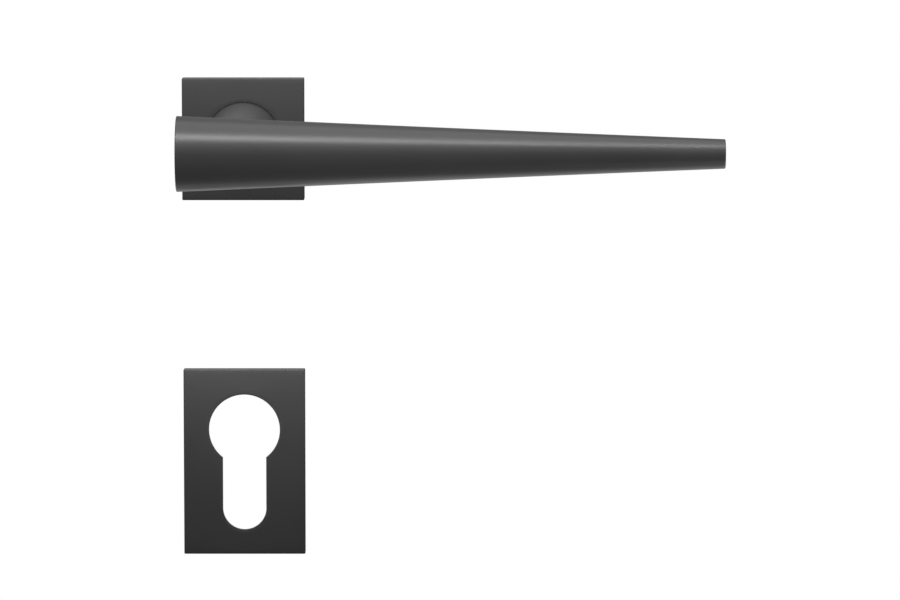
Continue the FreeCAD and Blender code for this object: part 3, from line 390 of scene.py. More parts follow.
def makeGrip():
    columns, bigEnd, tip = grip["columns"], grip["bigEnd"], grip["tip"]
    angles = evenAngles(columns) - math.pi
    swing = np.linspace(0, math.pi / 2, 9)
    rounding = grip["endRound"]
    blockX, margin = grip["blockX"], grip["margin"]
    # big end: a flat face in rings, then a quarter round into the cone
    bigX = np.concatenate([np.full(4, bigEnd), bigEnd + rounding * (1 - np.cos(swing))])
    bigFlat = gripRadius(np.array(bigEnd + rounding)) - rounding
    bigR = np.concatenate([np.linspace(0, 1, 5)[:4] * bigFlat, bigFlat + rounding * np.sin(swing)])
    # side: even rows before, in and after the block that makes room for the hole
    sideX = np.concatenate([np.linspace(bigEnd + margin, -blockX - margin / 2, grip["rowsBefore"]),
                            np.linspace(-blockX, blockX, grip["blockCells"] + 1),
                            np.linspace(blockX + margin, tip - margin, grip["rowsAfter"])])
    # tip: the same quarter round and flat face, the other way about
    tipX = np.concatenate([tip - rounding * (1 - np.sin(swing)), np.full(3, tip)])
    tipFlat = gripRadius(np.array(tip - rounding)) - rounding
    tipR = np.concatenate([tipFlat + rounding * np.cos(swing), np.array([0.6, 0.3, 0.0]) * tipFlat])
    allX = np.concatenate([bigX, sideX, tipX])
    allR = np.concatenate([bigR, gripRadius(sideX), tipR])
    points = gripPoint(allX[:, None], angles, allR[:, None]).reshape(-1, 3)
    faces = gridFaces(len(allX), columns)

    # the hole: rings slide from the block's outline to the circle in (x, angle), then go straight down
    rowLow = len(bigX) + grip["rowsBefore"]
    block = (rowLow, rowLow + grip["blockCells"], columns // 2 - grip["blockColumns"],
             columns // 2 + grip["blockColumns"])
    faces = faces[outsideBlock(faces, columns, *block)]
    loopRows, loopColumns = loopRound(*block)
    startX = allX[loopRows]
    startAngle = angles[loopColumns]
    around = np.arctan2(gripRadius(startX) * np.sin(startAngle), startX)
    holeX = grip["holeRadius"] * np.cos(around)
    holeZ = grip["holeRadius"] * np.sin(around)
    holeAngle = np.arcsin(holeZ / gripRadius(holeX))
    share = shares(5)
    ringX = startX + (holeX - startX) * share
    rings = gripPoint(ringX, startAngle + (holeAngle - startAngle) * share, gripRadius(ringX))
    wallY = rings[-1, :, 1] + (grip["holeFloor"] - rings[-1, :, 1]) * shares(4)
    wall = xyz(holeX, wallY, holeZ)
    inward = np.array([0.5, 0.0])[:, None]
    floor = xyz(holeX * inward, grip["holeFloor"], holeZ * inward)
    points, more = continueLoop(points, loopRows * columns + loopColumns, np.vstack([rings, wall, floor]))
    addPiece("grip", points, np.vstack([faces, more]), "lever_grip", "lever")


makeGrip()
print("the grip is made")


# Neck: saddle, taper, journal, stem with ring grooves and flats, square socket and the set screw's hole

neck = {"endRadius": 8.0, "rootRadius": 8.9976, "endY": -50.0, "rootY": -4.0, "shoulderY": -2.75,
        "journalRadius": 7.9976, "journalEnd": 1.2, "stemRadius": 6.9976, "stemEnd": 12.0125,
        "flatsFrom": 8.0125, "flatHalf": 6.1976, "grooveRadius": 6.6976,
        "grooves": ((1.78, 2.62), (10.3925, 11.2325)), "stemChamfer": 0.25, "rootEdge": 0.12,
        "journalEdge": 0.1, "lip": 0.08, "studRadius": 4.02, "studFloor": -33.0, "socketHalf": 4.05,
        "socketFloor": -28.0, "saddleGap": 0.02, "screwRadius": 3.0, "screwY": -16.0, "blockY": 4.5,
        "blockMargin": 0.7, "blockCells": 12, "blockColumns": 21, "columns": 192, "rimGuess": 8.1,
        "upperRows": 24, "lowerRows": 8}


def taperRadius(y):
    share = (y - neck["endY"]) / (neck["rootY"] - neck["endY"])
    return neck["endRadius"] + (neck["rootRadius"] - neck["endRadius"]) * share


def saddleY(x, z):
    # the grip's own surface, moved off it by the gap
    return grip["axisY"] + np.sqrt(gripRadius(x) ** 2 - z ** 2) + neck["saddleGap"]


def makeNeck():
    columns = neck["columns"]
    angles = evenAngles(columns)
    across = np.cos(angles)
    up = np.sin(angles)
    lowest = 3 * columns // 4
    ones = np.ones(columns)

    def rowsOf(radii, places):
        # rows of equal length from lists of radii and places, each a number or one value for every column
        radius = np.stack([ones * part for part in radii])
        place = np.stack([ones * part for part in places])
        return turned(radius, place, angles)

    stud, studFloor = neck["studRadius"], neck["studFloor"]
    atStud = saddleY(stud * across, stud * up)
    hole = [rowsOf([0, stud / 2, stud], [studFloor] * 3)]
    wallY = studFloor + (atStud - studFloor) * shares(8)
    hole.append(rowsOf([stud] * len(wallY), list(wallY)))

    # the saddle's rim: a guessed radius gives a place, whose own radius gives the rim
    edge = saddleY(neck["rimGuess"] * across, neck["rimGuess"] * up)
    edge = saddleY(taperRadius(edge) * across, taperRadius(edge) * up)
    edgeRadius = taperRadius(edge)
    radii = stud + (edgeRadius - stud) * shares(6)[:-1]
    saddle = [rowsOf(list(radii), list(saddleY(radii * across, radii * up)))]
    # the sharp lip is taken off
    lip = neck["lip"]
    lipRadius = edgeRadius - lip
    saddle.append(rowsOf([lipRadius], [saddleY(lipRadius * across, lipRadius * up)]))

    screwRadius, screwY = neck["screwRadius"], neck["screwY"]
    blockStart, blockEnd = screwY - neck["blockY"], screwY + neck["blockY"]
    margin = neck["blockMargin"]
    first = edge + lip
    upper = first + (blockStart - margin - first) * np.linspace(0, 1, neck["upperRows"])[:, None]
    blockRows = list(np.linspace(blockStart, blockEnd, neck["blockCells"] + 1))
    lower = np.linspace(blockEnd + margin, neck["rootY"], neck["lowerRows"])
    taperRows = list(upper) + blockRows + list(lower)
    taperLow = sum(len(part) for part in hole + saddle) + len(upper)
    taper = [rowsOf([taperRadius(ones * y) for y in taperRows], taperRows)]

    stem = neck["stemRadius"]
    journal = neck["journalRadius"]
    root = neck["rootRadius"]
    flat = neck["flatHalf"] / np.maximum(np.abs(up), 1e-6)
    rootEdge = neck["rootEdge"]
    journalEdge = neck["journalEdge"]
    profile = [(root, neck["shoulderY"] - rootEdge), (root - rootEdge, neck["shoulderY"]),
               (journal, neck["shoulderY"]), (journal, -0.8), (journal, neck["journalEnd"] - journalEdge),
               (journal - journalEdge, neck["journalEnd"]), (stem, neck["journalEnd"])]
    (hubFront, hubBack), (driverFront, driverBack) = neck["grooves"]
    groove = neck["grooveRadius"]
    profile += [(stem, hubFront), (groove, hubFront), (groove, hubBack), (stem, hubBack), (stem, 5.0),
                (stem, neck["flatsFrom"])]
    profile += [(np.minimum(radius, flat), y) for radius, y in (
        (stem, neck["flatsFrom"]), (stem, driverFront), (groove, driverFront), (groove, driverBack),
        (stem, driverBack), (stem, neck["stemEnd"] - neck["stemChamfer"]),
        (stem - neck["stemChamfer"], neck["stemEnd"]))]
    outside = [rowsOf([radius for radius, _ in profile], [y for _, y in profile])]

    # square socket: rows from the stem's end inwards, past the block of the set screw's hole, to the floor
    square = neck["socketHalf"] / np.maximum(np.abs(across), np.abs(up))
    mouthRows = [neck["stemEnd"], 9.0, 4.0, -1.0, -6.0, blockEnd + 1.5]
    socketY = mouthRows + blockRows[::-1] + [-23.0, neck["socketFloor"]]
    socketLow = sum(len(part) for part in hole + saddle + taper + outside) + len(mouthRows)
    socket = [rowsOf([square] * len(socketY), socketY), rowsOf([square / 2, 0], [neck["socketFloor"]] * 2)]

    grid = np.vstack(hole + saddle + taper + outside + socket)
    points = grid.reshape(-1, 3)
    faces = gridFaces(len(grid), columns)

    # set screw's hole: one block of cells leaves the taper, one the socket's floor, and a bore joins them
    sides = (lowest - neck["blockColumns"], lowest + neck["blockColumns"])
    cells = neck["blockCells"]
    faces = faces[outsideBlock(faces, columns, taperLow, taperLow + cells, *sides)
                  & outsideBlock(faces, columns, socketLow, socketLow + cells, *sides)]
    loopRows, loopColumns = loopRound(taperLow, taperLow + cells, *sides)
    outerLoop = loopRows * columns + loopColumns
    innerLoop = (socketLow + cells - (loopRows - taperLow)) * columns + loopColumns
    outer = points[outerLoop]
    inner = points[innerLoop]
    around = np.arctan2(outer[:, 1] - screwY, outer[:, 0])
    holeX = screwRadius * np.cos(around)
    holeY = screwY + screwRadius * np.sin(around)
    share = shares(5)
    ringX = outer[:, 0] + (holeX - outer[:, 0]) * share
    ringY = outer[:, 1] + (holeY - outer[:, 1]) * share
    ringZ = -np.sqrt(taperRadius(ringY) ** 2 - ringX ** 2)
    rings = xyz(ringX, ringY, ringZ)
    boreZ = ringZ[-1] + (-neck["socketHalf"] - ringZ[-1]) * share
    bore = xyz(holeX, holeY, boreZ)
    back = bore[-1] + (inner - bore[-1]) * shares(4)[..., None]
    points, more = continueLoop(points, outerLoop, np.vstack([rings, bore, back]))
    addPiece("neck", points, np.vstack([faces, more]), "lever_neck", "lever")


makeNeck()
print("the neck is made")


# Covers: pressed shells, open at the back, with a round or a cylinder-shaped opening

covers = {
    "roseCover": {"node": "rose_cover", "half": 15.0, "low": -15.0, "high": 15.0, "centre": 0.0, "face": -4.0,
                  "clips": (0.0,), "plate": 1.9},
    "cylinderCover": {"node": "escutcheon_cover", "half": 15.0, "low": -103.0, "high": -57.0, "centre": -80.0,
                      "face": -3.0, "clips": (-67.0, -93.0), "plate": 1.7},
}
coverShape = {"faceThickness": 1.0, "wall": 0.9, "edgeRound": 0.3, "cornerRound": 0.3, "holeEdge": 0.08,
              "rimEdge": 0.06, "pryHalf": 2.0, "pryDepth": 0.6, "grooveDepth": 0.25, "grooveHalf": 5.5,
              "grooveFront": -0.2, "roseHole": 9.1176, "sideSteps": 60, "cornerSteps": 7, "step": 0.02,
              "closest": 0.004}
cylinderOpening = {"radius": 8.75, "centreZ": -72.0, "legHalf": 5.35, "footZ": -91.55, "footPoints": 41,
                   "lobePoints": 97}


def openingReach(cover, direction):
    # how far the opening's outline is from the cover's centre in each direction
    dx, dz = np.cos(direction), np.sin(direction)
    if cover["node"] == "rose_cover":
        return np.full_like(dx, coverShape["roseHole"])
    shape, centre = cylinderOpening, cover["centre"]
    lobe, leg = shape["radius"], shape["legHalf"]
    fromCircle = centre - shape["centreZ"]
    toCircle = -fromCircle * dz + np.sqrt((fromCircle * dz) ** 2 - fromCircle ** 2 + lobe ** 2)
    toSide = leg / np.maximum(np.abs(dx), 1e-9)
    sideZ = centre + toSide * dz
    fromFoot = centre - shape["footZ"]
    inside = np.maximum((fromFoot * dz) ** 2 - fromFoot ** 2 + leg ** 2, 0)
    toFoot = -fromFoot * dz + np.sqrt(inside)
    junctionZ = shape["centreZ"] - math.sqrt(lobe ** 2 - leg ** 2)
    return np.where(sideZ > junctionZ, toCircle, np.where(sideZ > shape["footZ"], toSide, toFoot))


def coverOutline(cover):
    # corners' quarter rounds, even points on the sides, and a point wherever an inner feature begins or ends
    shape = coverShape
    half, low, high, centre = cover["half"], cover["low"], cover["high"], cover["centre"]
    radius = shape["cornerRound"]
    swing = np.linspace(0, math.pi / 2, shape["cornerSteps"])
    turn = np.arange(4)[:, None] * math.pi / 2 + swing
    centreX = np.array([1, -1, -1, 1])[:, None] * (half - radius)
    centreZ = np.array([high - radius, high - radius, low + radius, low + radius])[:, None]
    cornerX = (centreX + radius * np.cos(turn)).ravel()
    cornerZ = (centreZ + radius * np.sin(turn)).ravel()

    # a groove's or the pry slot's end is two points a small step apart
    ends = [(side, step) for side in (-1, 1) for step in (0, shape["step"])]
    grooveEnds = np.array([place + side * (shape["grooveHalf"] + step)
                           for place in cover["clips"] for side, step in ends])
    pryEnds = np.array([side * (shape["pryHalf"] + step) for side, step in ends])
    alongZ = np.linspace(low + radius, high - radius, shape["sideSteps"] + 1)[1:-1]
    alongX = np.linspace(-half + radius, half - radius, shape["sideSteps"] + 1)[1:-1]
    upright = np.concatenate([alongZ, grooveEnds])
    level = np.concatenate([alongX, pryEnds])
    x = np.concatenate([cornerX, np.full(len(upright), half), np.full(len(upright), -half), alongX, level])
    z = np.concatenate([cornerZ, upright, upright, np.full(len(alongX), high), np.full(len(level), low)])
    if cover["node"] == "escutcheon_cover":
        # the opening's own corners and its foot need points that lie in their directions
        opening = cylinderOpening
        foot = np.linspace(math.pi, fullTurn, opening["footPoints"])
        lobe = np.linspace(0, fullTurn, opening["lobePoints"])
        lobeRadius, lobeZ, leg = opening["radius"], opening["centreZ"], opening["legHalf"]
        junction = math.sqrt(lobeRadius ** 2 - leg ** 2)
        pointX = np.concatenate([leg * np.cos(foot), lobeRadius * np.cos(lobe), [leg, -leg]])
        pointZ = np.concatenate([opening["footZ"] + leg * np.sin(foot), lobeZ + lobeRadius * np.sin(lobe),
                                 [lobeZ - junction] * 2])
        direction = np.arctan2(pointZ - centre, pointX)
        dx, dz = np.cos(direction), np.sin(direction)
        toSide = half / np.maximum(np.abs(dx), 1e-9)
        toEnd = np.where(dz > 0, high - centre, centre - low) / np.maximum(np.abs(dz), 1e-9)
        reach = np.minimum(toSide, toEnd)
        x = np.concatenate([x, dx * reach])
        z = np.concatenate([z, centre + dz * reach])
    direction = np.arctan2(z - centre, x)
    order = np.argsort(direction)
    x, z, direction = x[order], z[order], direction[order]
    apart = np.ones(len(x), dtype=bool)
    apart[1:] = np.hypot(np.diff(x), np.diff(z)) > shape["closest"]
    return x[apart], z[apart], direction[apart]


def makeCover(name):
    cover = covers[name]
    shape = coverShape
    half, low, high, face = cover["half"], cover["low"], cover["high"], cover["face"]
    x, z, direction = coverOutline(cover)
    radius = shape["cornerRound"]
    insideX = np.clip(x, -half + radius, half - radius)
    insideZ = np.clip(z, low + radius, high - radius)
    awayX, awayZ = x - insideX, z - insideZ
    length = np.hypot(awayX, awayZ)
    awayX, awayZ = awayX / length, awayZ / length

    def outerRow(inset, y):
        # the outline moved inwards along its own normal, and kept inside the smaller rectangle
        step = np.minimum(inset, radius)
        rowX = np.clip(x - awayX * step, -half + inset, half - inset)
        rowZ = np.clip(z - awayZ * step, low + inset, high - inset)
        return xyz(rowX, y, rowZ)

    reach = openingReach(cover, direction)

    def openingRow(outset, y):
        radius = reach + outset
        return xyz(radius * np.cos(direction), y, cover["centre"] + radius * np.sin(direction))

    quarter = np.linspace(0, math.pi / 2, 6)
    edge, holeEdge, rim, wall = (shape[part] for part in ("edgeRound", "holeEdge", "rimEdge", "wall"))
    behind = face + shape["faceThickness"]
    near = shape["closest"]
    atPry = (np.abs(x) <= shape["pryHalf"] + near) & (z < low + near)
    rearY = np.where(atPry, -shape["pryDepth"], 0.0)
    inGroove = np.zeros(len(x), dtype=bool)
    for place in cover["clips"]:
        inGroove |= (np.abs(np.abs(x) - half) < near) & (np.abs(z - place) <= shape["grooveHalf"] + near)
    grooveInset = wall - shape["grooveDepth"] * inGroove

    # front: from the opening's edge over the face, round the edge and back along the wall
    rows = [openingRow(0, behind), openingRow(0, face + holeEdge),
            openingRow(holeEdge * 0.3, face + holeEdge * 0.3), openingRow(holeEdge, face)]
    fromOpening, toEdge = openingRow(holeEdge, face), outerRow(edge, face)
    rows += [fromOpening + (toEdge - fromOpening) * share for share in np.linspace(0, 1, 8)[1:-1]]
    rows += [outerRow(edge * (1 - math.sin(turn)), face + edge * (1 - math.cos(turn))) for turn in quarter]
    rows += [outerRow(0, face / 2), outerRow(0, rearY - rim), outerRow(rim, rearY)]
    # back: over the rim, up inside the wall past the clips' grooves, and behind the face to the opening
    rows += [outerRow(wall - rim, rearY), outerRow(wall, np.minimum(rearY, 0) - rim)]
    grooveBack = np.minimum(rearY - rim, shape["grooveFront"])
    rows += [outerRow(wall, grooveBack), outerRow(grooveInset, grooveBack),
             outerRow(grooveInset, -cover["plate"]), outerRow(wall, -cover["plate"]), outerRow(wall, behind)]
    fromWall, toOpening = outerRow(wall, behind), openingRow(0, behind)
    rows += [fromWall + (toOpening - fromWall) * share for share in np.linspace(0, 1, 5)[1:-1]]
    addGrid(name, np.stack(rows), cover["node"], cover["node"], wrapRows=True)


for coverName in covers:
    makeCover(coverName)
print("the covers are made")


# Turned rings: closed sections with eased corners, carried round the spindle axis

turnedRings = {
    "bearingBush": {"node": "hub_bush", "body": "fixed_plates", "round": 0.12,
                    "section": ((8.0476, -2.7), (10.3976, -2.7), (10.3976, -1.9), (8.7476, -1.9),
                                (8.7476, 1.2), (8.0476, 1.2))},
    "thrustWasher": {"node": "thrust_washer", "body": "fixed_plates", "round": 0.1,
                     "section": ((7.0976, 1.25), (8.7976, 1.25), (8.7976, 1.75), (7.0976, 1.75))},
}
for ringName, ring in turnedRings.items():
    path = roundedPath(ring["section"], ring["round"])
    ringGrid = turned(path[:, :1], path[:, 1:], evenAngles(144))
    addGrid(ringName, ringGrid, ring["node"], ring["body"], wrapRows=True)

waveWasher = {"inner": 7.0976, "outer": 8.7976, "middle": 10.1125, "height": 0.5, "strip": 0.3, "waves": 3,
              "round": 0.06, "columns": 240}


def makeWaveWasher():
    # the flat section rides up and down as the cosine of the number of waves times the angle
    wave = waveWasher
    strip = wave["strip"] / 2
    section = roundedPath([(wave["inner"], -strip), (wave["outer"], -strip), (wave["outer"], strip),
                           (wave["inner"], strip)], wave["round"])
    angles = evenAngles(wave["columns"])
    lift = (wave["height"] - wave["strip"]) / 2 * np.cos(wave["waves"] * angles)
    grid = turned(section[:, :1], section[:, 1:] + wave["middle"] + lift[None, :], angles)
    addGrid("waveWasher", grid, "wave_washer", "lever", wrapRows=True)


makeWaveWasher()
print("the rings are made")


# Spindle: a square bar with eased corners and chamfered ends

spindle = {"half": 4.0, "front": -26.0, "back": 64.0, "chamfer": 0.6, "cornerRound": 0.25, "rows": 60}


def squareOutline(half, radius):
    return roundedPath([(half, half), (-half, half), (-half, -half), (half, -half)], radius, 6)


def makeSpindle():
    # one outline at every place along the bar, and smaller ones that close the ends
    front, back, chamfer = spindle["front"], spindle["back"], spindle["chamfer"]
    full = squareOutline(spindle["half"], spindle["cornerRound"])
    end = squareOutline(spindle["half"] - chamfer, spindle["cornerRound"])
    along = np.linspace(front + chamfer, back - chamfer, spindle["rows"])
    flats = [end * 0, end * 0.5, end] + [full] * len(along) + [end, end * 0.5, end * 0]
    places = [front] * 3 + list(along) + [back] * 3
    grid = np.stack([xyz(flat[:, 0], y, flat[:, 1]) for flat, y in zip(flats, places)])
    addGrid("spindle", grid, "spindle", "lever")


makeSpindle()
print("the spindle is made")


# Threaded pieces: a surface of revolution whose radius dips along a helix

threadShape = {"steepness": 1.25, "sink": 0.05, "columns": 96}


def threadDip(along, angles, start, stop, bolt):
    # dip = depth times a triangle wave of (place / pitch - angle / turn), flat at crest and root, faded at
    # both ends
    phase = (along[:, None] - start) / bolt["pitch"] - angles[None, :] / fullTurn
    ridge = np.abs((phase % 1.0) * 2 - 1)
    profile = np.clip(ridge * threadShape["steepness"] - threadShape["sink"], 0, 1)
    ends = np.clip((along - start) / bolt["fade"], 0, 1) * np.clip((stop - along) / bolt["fade"], 0, 1)
    return bolt["depth"] * profile * ends[:, None]


def plusReach(angles, long, narrow):
    # outline of a plus sign: in each direction the farther of its two bars
    across, up = np.maximum(np.abs(np.cos(angles)), 1e-9), np.maximum(np.abs(np.sin(angles)), 1e-9)
    return np.maximum(np.minimum(long / across, narrow / up), np.minimum(narrow / across, long / up))


woodScrew = {"headRadius": 2.8, "neck": 1.3, "neckEnd": 2.8, "shank": 1.5, "shankFrom": 3.0, "length": 13.0,
             "threadFrom": 5.5, "pitch": 1.2, "depth": 0.42, "fade": 0.6, "point": 2.4, "crossHalf": 1.45,
             "crossSlotHalf": 0.35, "crossDepth": 1.0, "floorShares": (0.72, 0.8), "mouthEase": 0.03,
             "headEdge": 0.06, "columns": 64, "rows": 160, "tip": 0.02, "threadPast": 0.2, "pointPower": 0.85}


def makeScrewGrid():
    # from the floor of the cross over the head, down its cone to the neck, and along the thread to the point
    screw = woodScrew
    narrow, long = screw["crossSlotHalf"], screw["crossHalf"]
    corner = math.atan2(narrow, long)
    special = np.concatenate([[quarter * math.pi / 2 + offset for offset in
                               (-corner, -corner * 0.5, 0, corner * 0.5, corner, math.pi / 4)]
                              for quarter in range(4)])
    angles = np.unique(np.round(np.concatenate([evenAngles(screw["columns"]), special % fullTurn]), 4))
    top = plusReach(angles, long, narrow)
    longShare, narrowShare = screw["floorShares"]
    bottom = plusReach(angles, long * longShare, narrow * narrowShare)
    depth, neck, edge = screw["crossDepth"], screw["neck"], screw["headEdge"]
    head = screw["headRadius"]
    rim = head - edge
    mouth = top * (1 + screw["mouthEase"])
    rows = [(0, depth), (bottom * 0.5, depth), (bottom, depth * 0.94), (top * (1 - screw["mouthEase"]), 0.05),
            (mouth, 0)]
    rows += [(mouth + (rim - mouth) * share, 0) for share in (0.35, 0.7)] + [(rim, 0), (head, edge)]
    rows += [(head + (neck - head) * share, edge + (head - neck - edge) * share) for share in (0.5, 1.0)]
    rows += [(neck, screw["neckEnd"])]
    ones = np.ones(len(angles))
    headRadii = np.stack([ones * radius for radius, _ in rows])
    along = np.linspace(screw["shankFrom"], screw["length"] - screw["tip"], screw["rows"])
    pointShare = np.clip((screw["length"] - along) / screw["point"], 0, 1)
    body = screw["shank"] * pointShare ** screw["pointPower"]
    dip = threadDip(along, angles, screw["threadFrom"], screw["length"] + screw["threadPast"], screw)
    radius = np.maximum(body[:, None] - dip * np.sqrt(pointShare)[:, None], screw["tip"])
    radii = np.vstack([headRadii, radius, ones * 0])
    places = np.concatenate([[place for _, place in rows], along, [screw["length"]]])
    return turned(radii, places[:, None], angles)


screwGrid = makeScrewGrid()
screwSets = {
    "roseScrews": {"node": "rose_screws", "front": -1.9,
                   "places": ((-10.8, -10.8), (10.8, -10.8), (-10.8, 10.8), (10.8, 10.8))},
    "cylinderScrews": {"node": "escutcheon_screws", "front": -1.7, "places": ((-9.85, -84.5), (9.85, -84.5))},
}
for setName, screws in screwSets.items():
    rows, columns = screwGrid.shape[:2]
    shifts = np.array([(x, screws["front"], z) for x, z in screws["places"]])
    allPoints = (screwGrid.reshape(1, -1, 3) + shifts[:, None, :]).reshape(-1, 3)
    oneScrew = gridFaces(rows, columns)
    allFaces = (oneScrew[None] + (np.arange(len(shifts)) * rows * columns)[:, None, None]).reshape(-1, 4)
    addPiece(setName, allPoints, allFaces, screws["node"], "fixed_plates", 40)
print("the wood screws are made")


stud = {"radius": 4.0, "front": -53.5, "back": -33.5, "chamfer": 0.8, "pitch": 1.25, "depth": 0.45,
        "fade": 0.9, "rows": 260}
setScrew = {"radius": 2.98, "top": -4.02, "bottom": -8.02, "placeY": -16.0, "chamfer": 0.5, "pitch": 0.75,
            "depth": 0.3, "fade": 0.6, "rows": 90, "keyHalf": 1.5, "keyDepth": 2.0, "keyCone": 0.5,
            "keyEdge": 0.08, "keyMouth": 1.06}


def threadedBar(bolt, low, high, angles):
    # chamfered ends, and a thread over the whole length between them
    along = np.linspace(low, high, bolt["rows"])
    fromEnd = np.minimum(along - low, high - along)
    body = bolt["radius"] - np.clip(bolt["chamfer"] - fromEnd, 0, None)
    return along, body[:, None] - threadDip(along, angles, low, high, bolt)


def makeStud():
    front, back = stud["front"], stud["back"]
    angles = evenAngles(threadShape["columns"])
    along, bar = threadedBar(stud, front, back, angles)
    place = np.concatenate([[front], along, [back]])
    grid = turned(np.vstack([angles * 0, bar, angles * 0]), place[:, None], angles)
    addGrid("stud", grid, "neck_stud", "lever", 40)


def makeSetScrew():
    # threaded like the stud, standing along Z, with a hexagon socket in its lower end
    screw = setScrew
    bottom, top = screw["bottom"], screw["top"]
    angles = np.concatenate([evenAngles(threadShape["columns"]), evenAngles(6)])
    angles = np.unique(np.round(angles, 5))
    hexagon = screw["keyHalf"] / np.cos((angles + math.pi / 6) % (math.pi / 3) - math.pi / 6)
    along, bar = threadedBar(screw, bottom, top, angles)
    deep = bottom + screw["keyDepth"]
    socket = [deep + screw["keyCone"], deep + screw["keyCone"] * 0.4, deep, bottom + screw["keyEdge"], bottom]
    radius = [angles * 0, hexagon * 0.5, hexagon, hexagon, hexagon * screw["keyMouth"], bar, angles * 0]
    place = np.concatenate([socket, along, [top]])
    lying = turned(np.vstack(radius), place[:, None], angles)
    grid = xyz(lying[..., 0], screw["placeY"] - lying[..., 2], lying[..., 1])
    addGrid("setScrew", grid, "grub_screw", "lever", 40)


makeStud()
makeSetScrew()
print("the stud and the set screw are made")


# Return spring: round wire along a path that comes in from the housing, coils, and ends in the driver

spring = {"wire": 1.3, "radius": 7.9976, "front": 3.45, "pitch": 1.35, "turns": 2.75, "headReach": 10.05,
          "tailEnd": 9.4, "bend": 0.9, "around": 20, "step": 0.12, "endInset": 0.12, "endShare": 0.8,
          "swayFrom": 0.8, "swayOver": 0.12}


def makeSpring():
    coil = spring
    radius = coil["radius"]
    turns = np.linspace(0, coil["turns"], int(coil["turns"] * fullTurn * radius / coil["step"]))
    angle = math.pi / 2 + turns * fullTurn
    helixY = coil["front"] + coil["pitch"] * turns
    helix = xyz(radius * np.cos(angle), helixY, radius * np.sin(angle))
    headZ = np.arange(coil["headReach"], radius, -coil["step"])
    head = xyz(0, coil["front"], headZ)
    tailY = np.arange(helix[-1, 1] + coil["step"], coil["tailEnd"], coil["step"])
    tail = xyz(helix[-1, 0], tailY, helix[-1, 2])
    path = np.vstack([head, helix, tail])
    # bends: the path is averaged over a short window, with its ends held
    window = int(coil["bend"] / coil["step"]) | 1
    reach = window // 2
    padded = np.vstack([np.repeat(path[:1], reach, axis=0), path, np.repeat(path[-1:], reach, axis=0)])
    weights = np.ones(window) / window
    smooth = np.stack([np.convolve(padded[:, axis], weights, mode="valid") for axis in range(3)], axis=1)
    smooth = np.vstack([path[:1], smooth[reach:len(smooth) - reach], path[-1:]])
    along = np.gradient(smooth, axis=0)
    along /= np.linalg.norm(along, axis=1)[:, None]
    # the wire's section stands on a direction that turns from the coil's axis to its radius near the tail
    share = np.arange(len(smooth)) / len(smooth)
    share = np.clip((share - coil["swayFrom"]) / coil["swayOver"], 0, 1)[:, None]
    outward = np.array([[math.cos(angle[-1]), 0, math.sin(angle[-1])]])
    guide = (1 - share) * np.array([[0, 1, 0]]) + share * outward
    side = np.cross(along, guide)
    side /= np.linalg.norm(side, axis=1)[:, None]
    other = np.cross(side, along)
    around = evenAngles(coil["around"])
    half = coil["wire"] / 2
    # both ends close over a small chamfer
    inset, endShare = coil["endInset"], coil["endShare"]
    index = np.concatenate([[0, 0], np.arange(len(smooth)), [len(smooth) - 1] * 2])
    ends = np.concatenate([[0.0, endShare], np.ones(len(smooth)), [endShare, 0.0]])[:, None, None]
    shift = np.concatenate([[-inset] * 2, np.zeros(len(smooth)), [inset] * 2])[:, None, None]
    cosine, sine = np.cos(around)[None, :, None], np.sin(around)[None, :, None]
    circle = side[index][:, None] * cosine + other[index][:, None] * sine
    grid = smooth[index][:, None] + along[index][:, None] * shift + circle * (half * ends)
    addGrid("returnSpring", grid, "return_spring", "fixed_plates", 40)


makeSpring()
print("the spring is made")


# Leaf clips: strips bowed to an arc, with rounded long edges

clips = {"span": 11.0, "strip": 0.4, "rise": 0.85, "inner": 13.0, "edgeRound": 0.08, "columns": 40}
clipPlaces = {"rose_clip": (-1.8, -0.4, 0.0), "escutcheon_clip_upper": (-1.6, -0.4, -67.0),
              "escutcheon_clip_lower": (-1.6, -0.4, -93.0)}


def makeClip(node, front, back, height, side):
    # the strip's middle follows x = crown minus a circle's sagitta; its section is a flat rounded rectangle
    clip = clips
    rise = clip["rise"]
    innerRadius = (clip["span"] ** 2 / 4 + rise ** 2) / (2 * rise)
    centre = clip["inner"] + rise - innerRadius
    swing = math.asin(clip["span"] / 2 / innerRadius)
    angles = np.linspace(-swing, swing, clip["columns"])
    section = roundedPath([(0, front), (clip["strip"], front), (clip["strip"], back), (0, back)],
                          clip["edgeRound"], 4)
    inside = np.array([clip["strip"] / 2, (front + back) / 2])
    rows = [section * 0 + inside] + [section] * len(angles) + [section * 0 + inside]
    rowAngles = np.concatenate([[-swing], angles, [swing]])
    grid = np.stack([xyz(side * (centre + (innerRadius + row[:, 0]) * math.cos(turn)), row[:, 1],
                         height + (innerRadius + row[:, 0]) * math.sin(turn))
                     for row, turn in zip(rows, rowAngles)])
    addGrid(node.replace("_", " ").title().replace(" ", ""), grid, node, "fixed_plates")


for clipName, (clipFront, clipBack, clipHeight) in clipPlaces.items():
    for sideName, sideSign in (("right", 1), ("left", -1)):
        makeClip(f"{clipName}_{sideName}", clipFront, clipBack, clipHeight, sideSign)
print("the clips are made")


# Studio: a pale floor far below, soft boxes, and a white background

studio = {"floorZ": -0.45, "floorHalf": 30.0, "seen": 1.0, "floorGlow": 0.28, "skyGlow": 0.30}


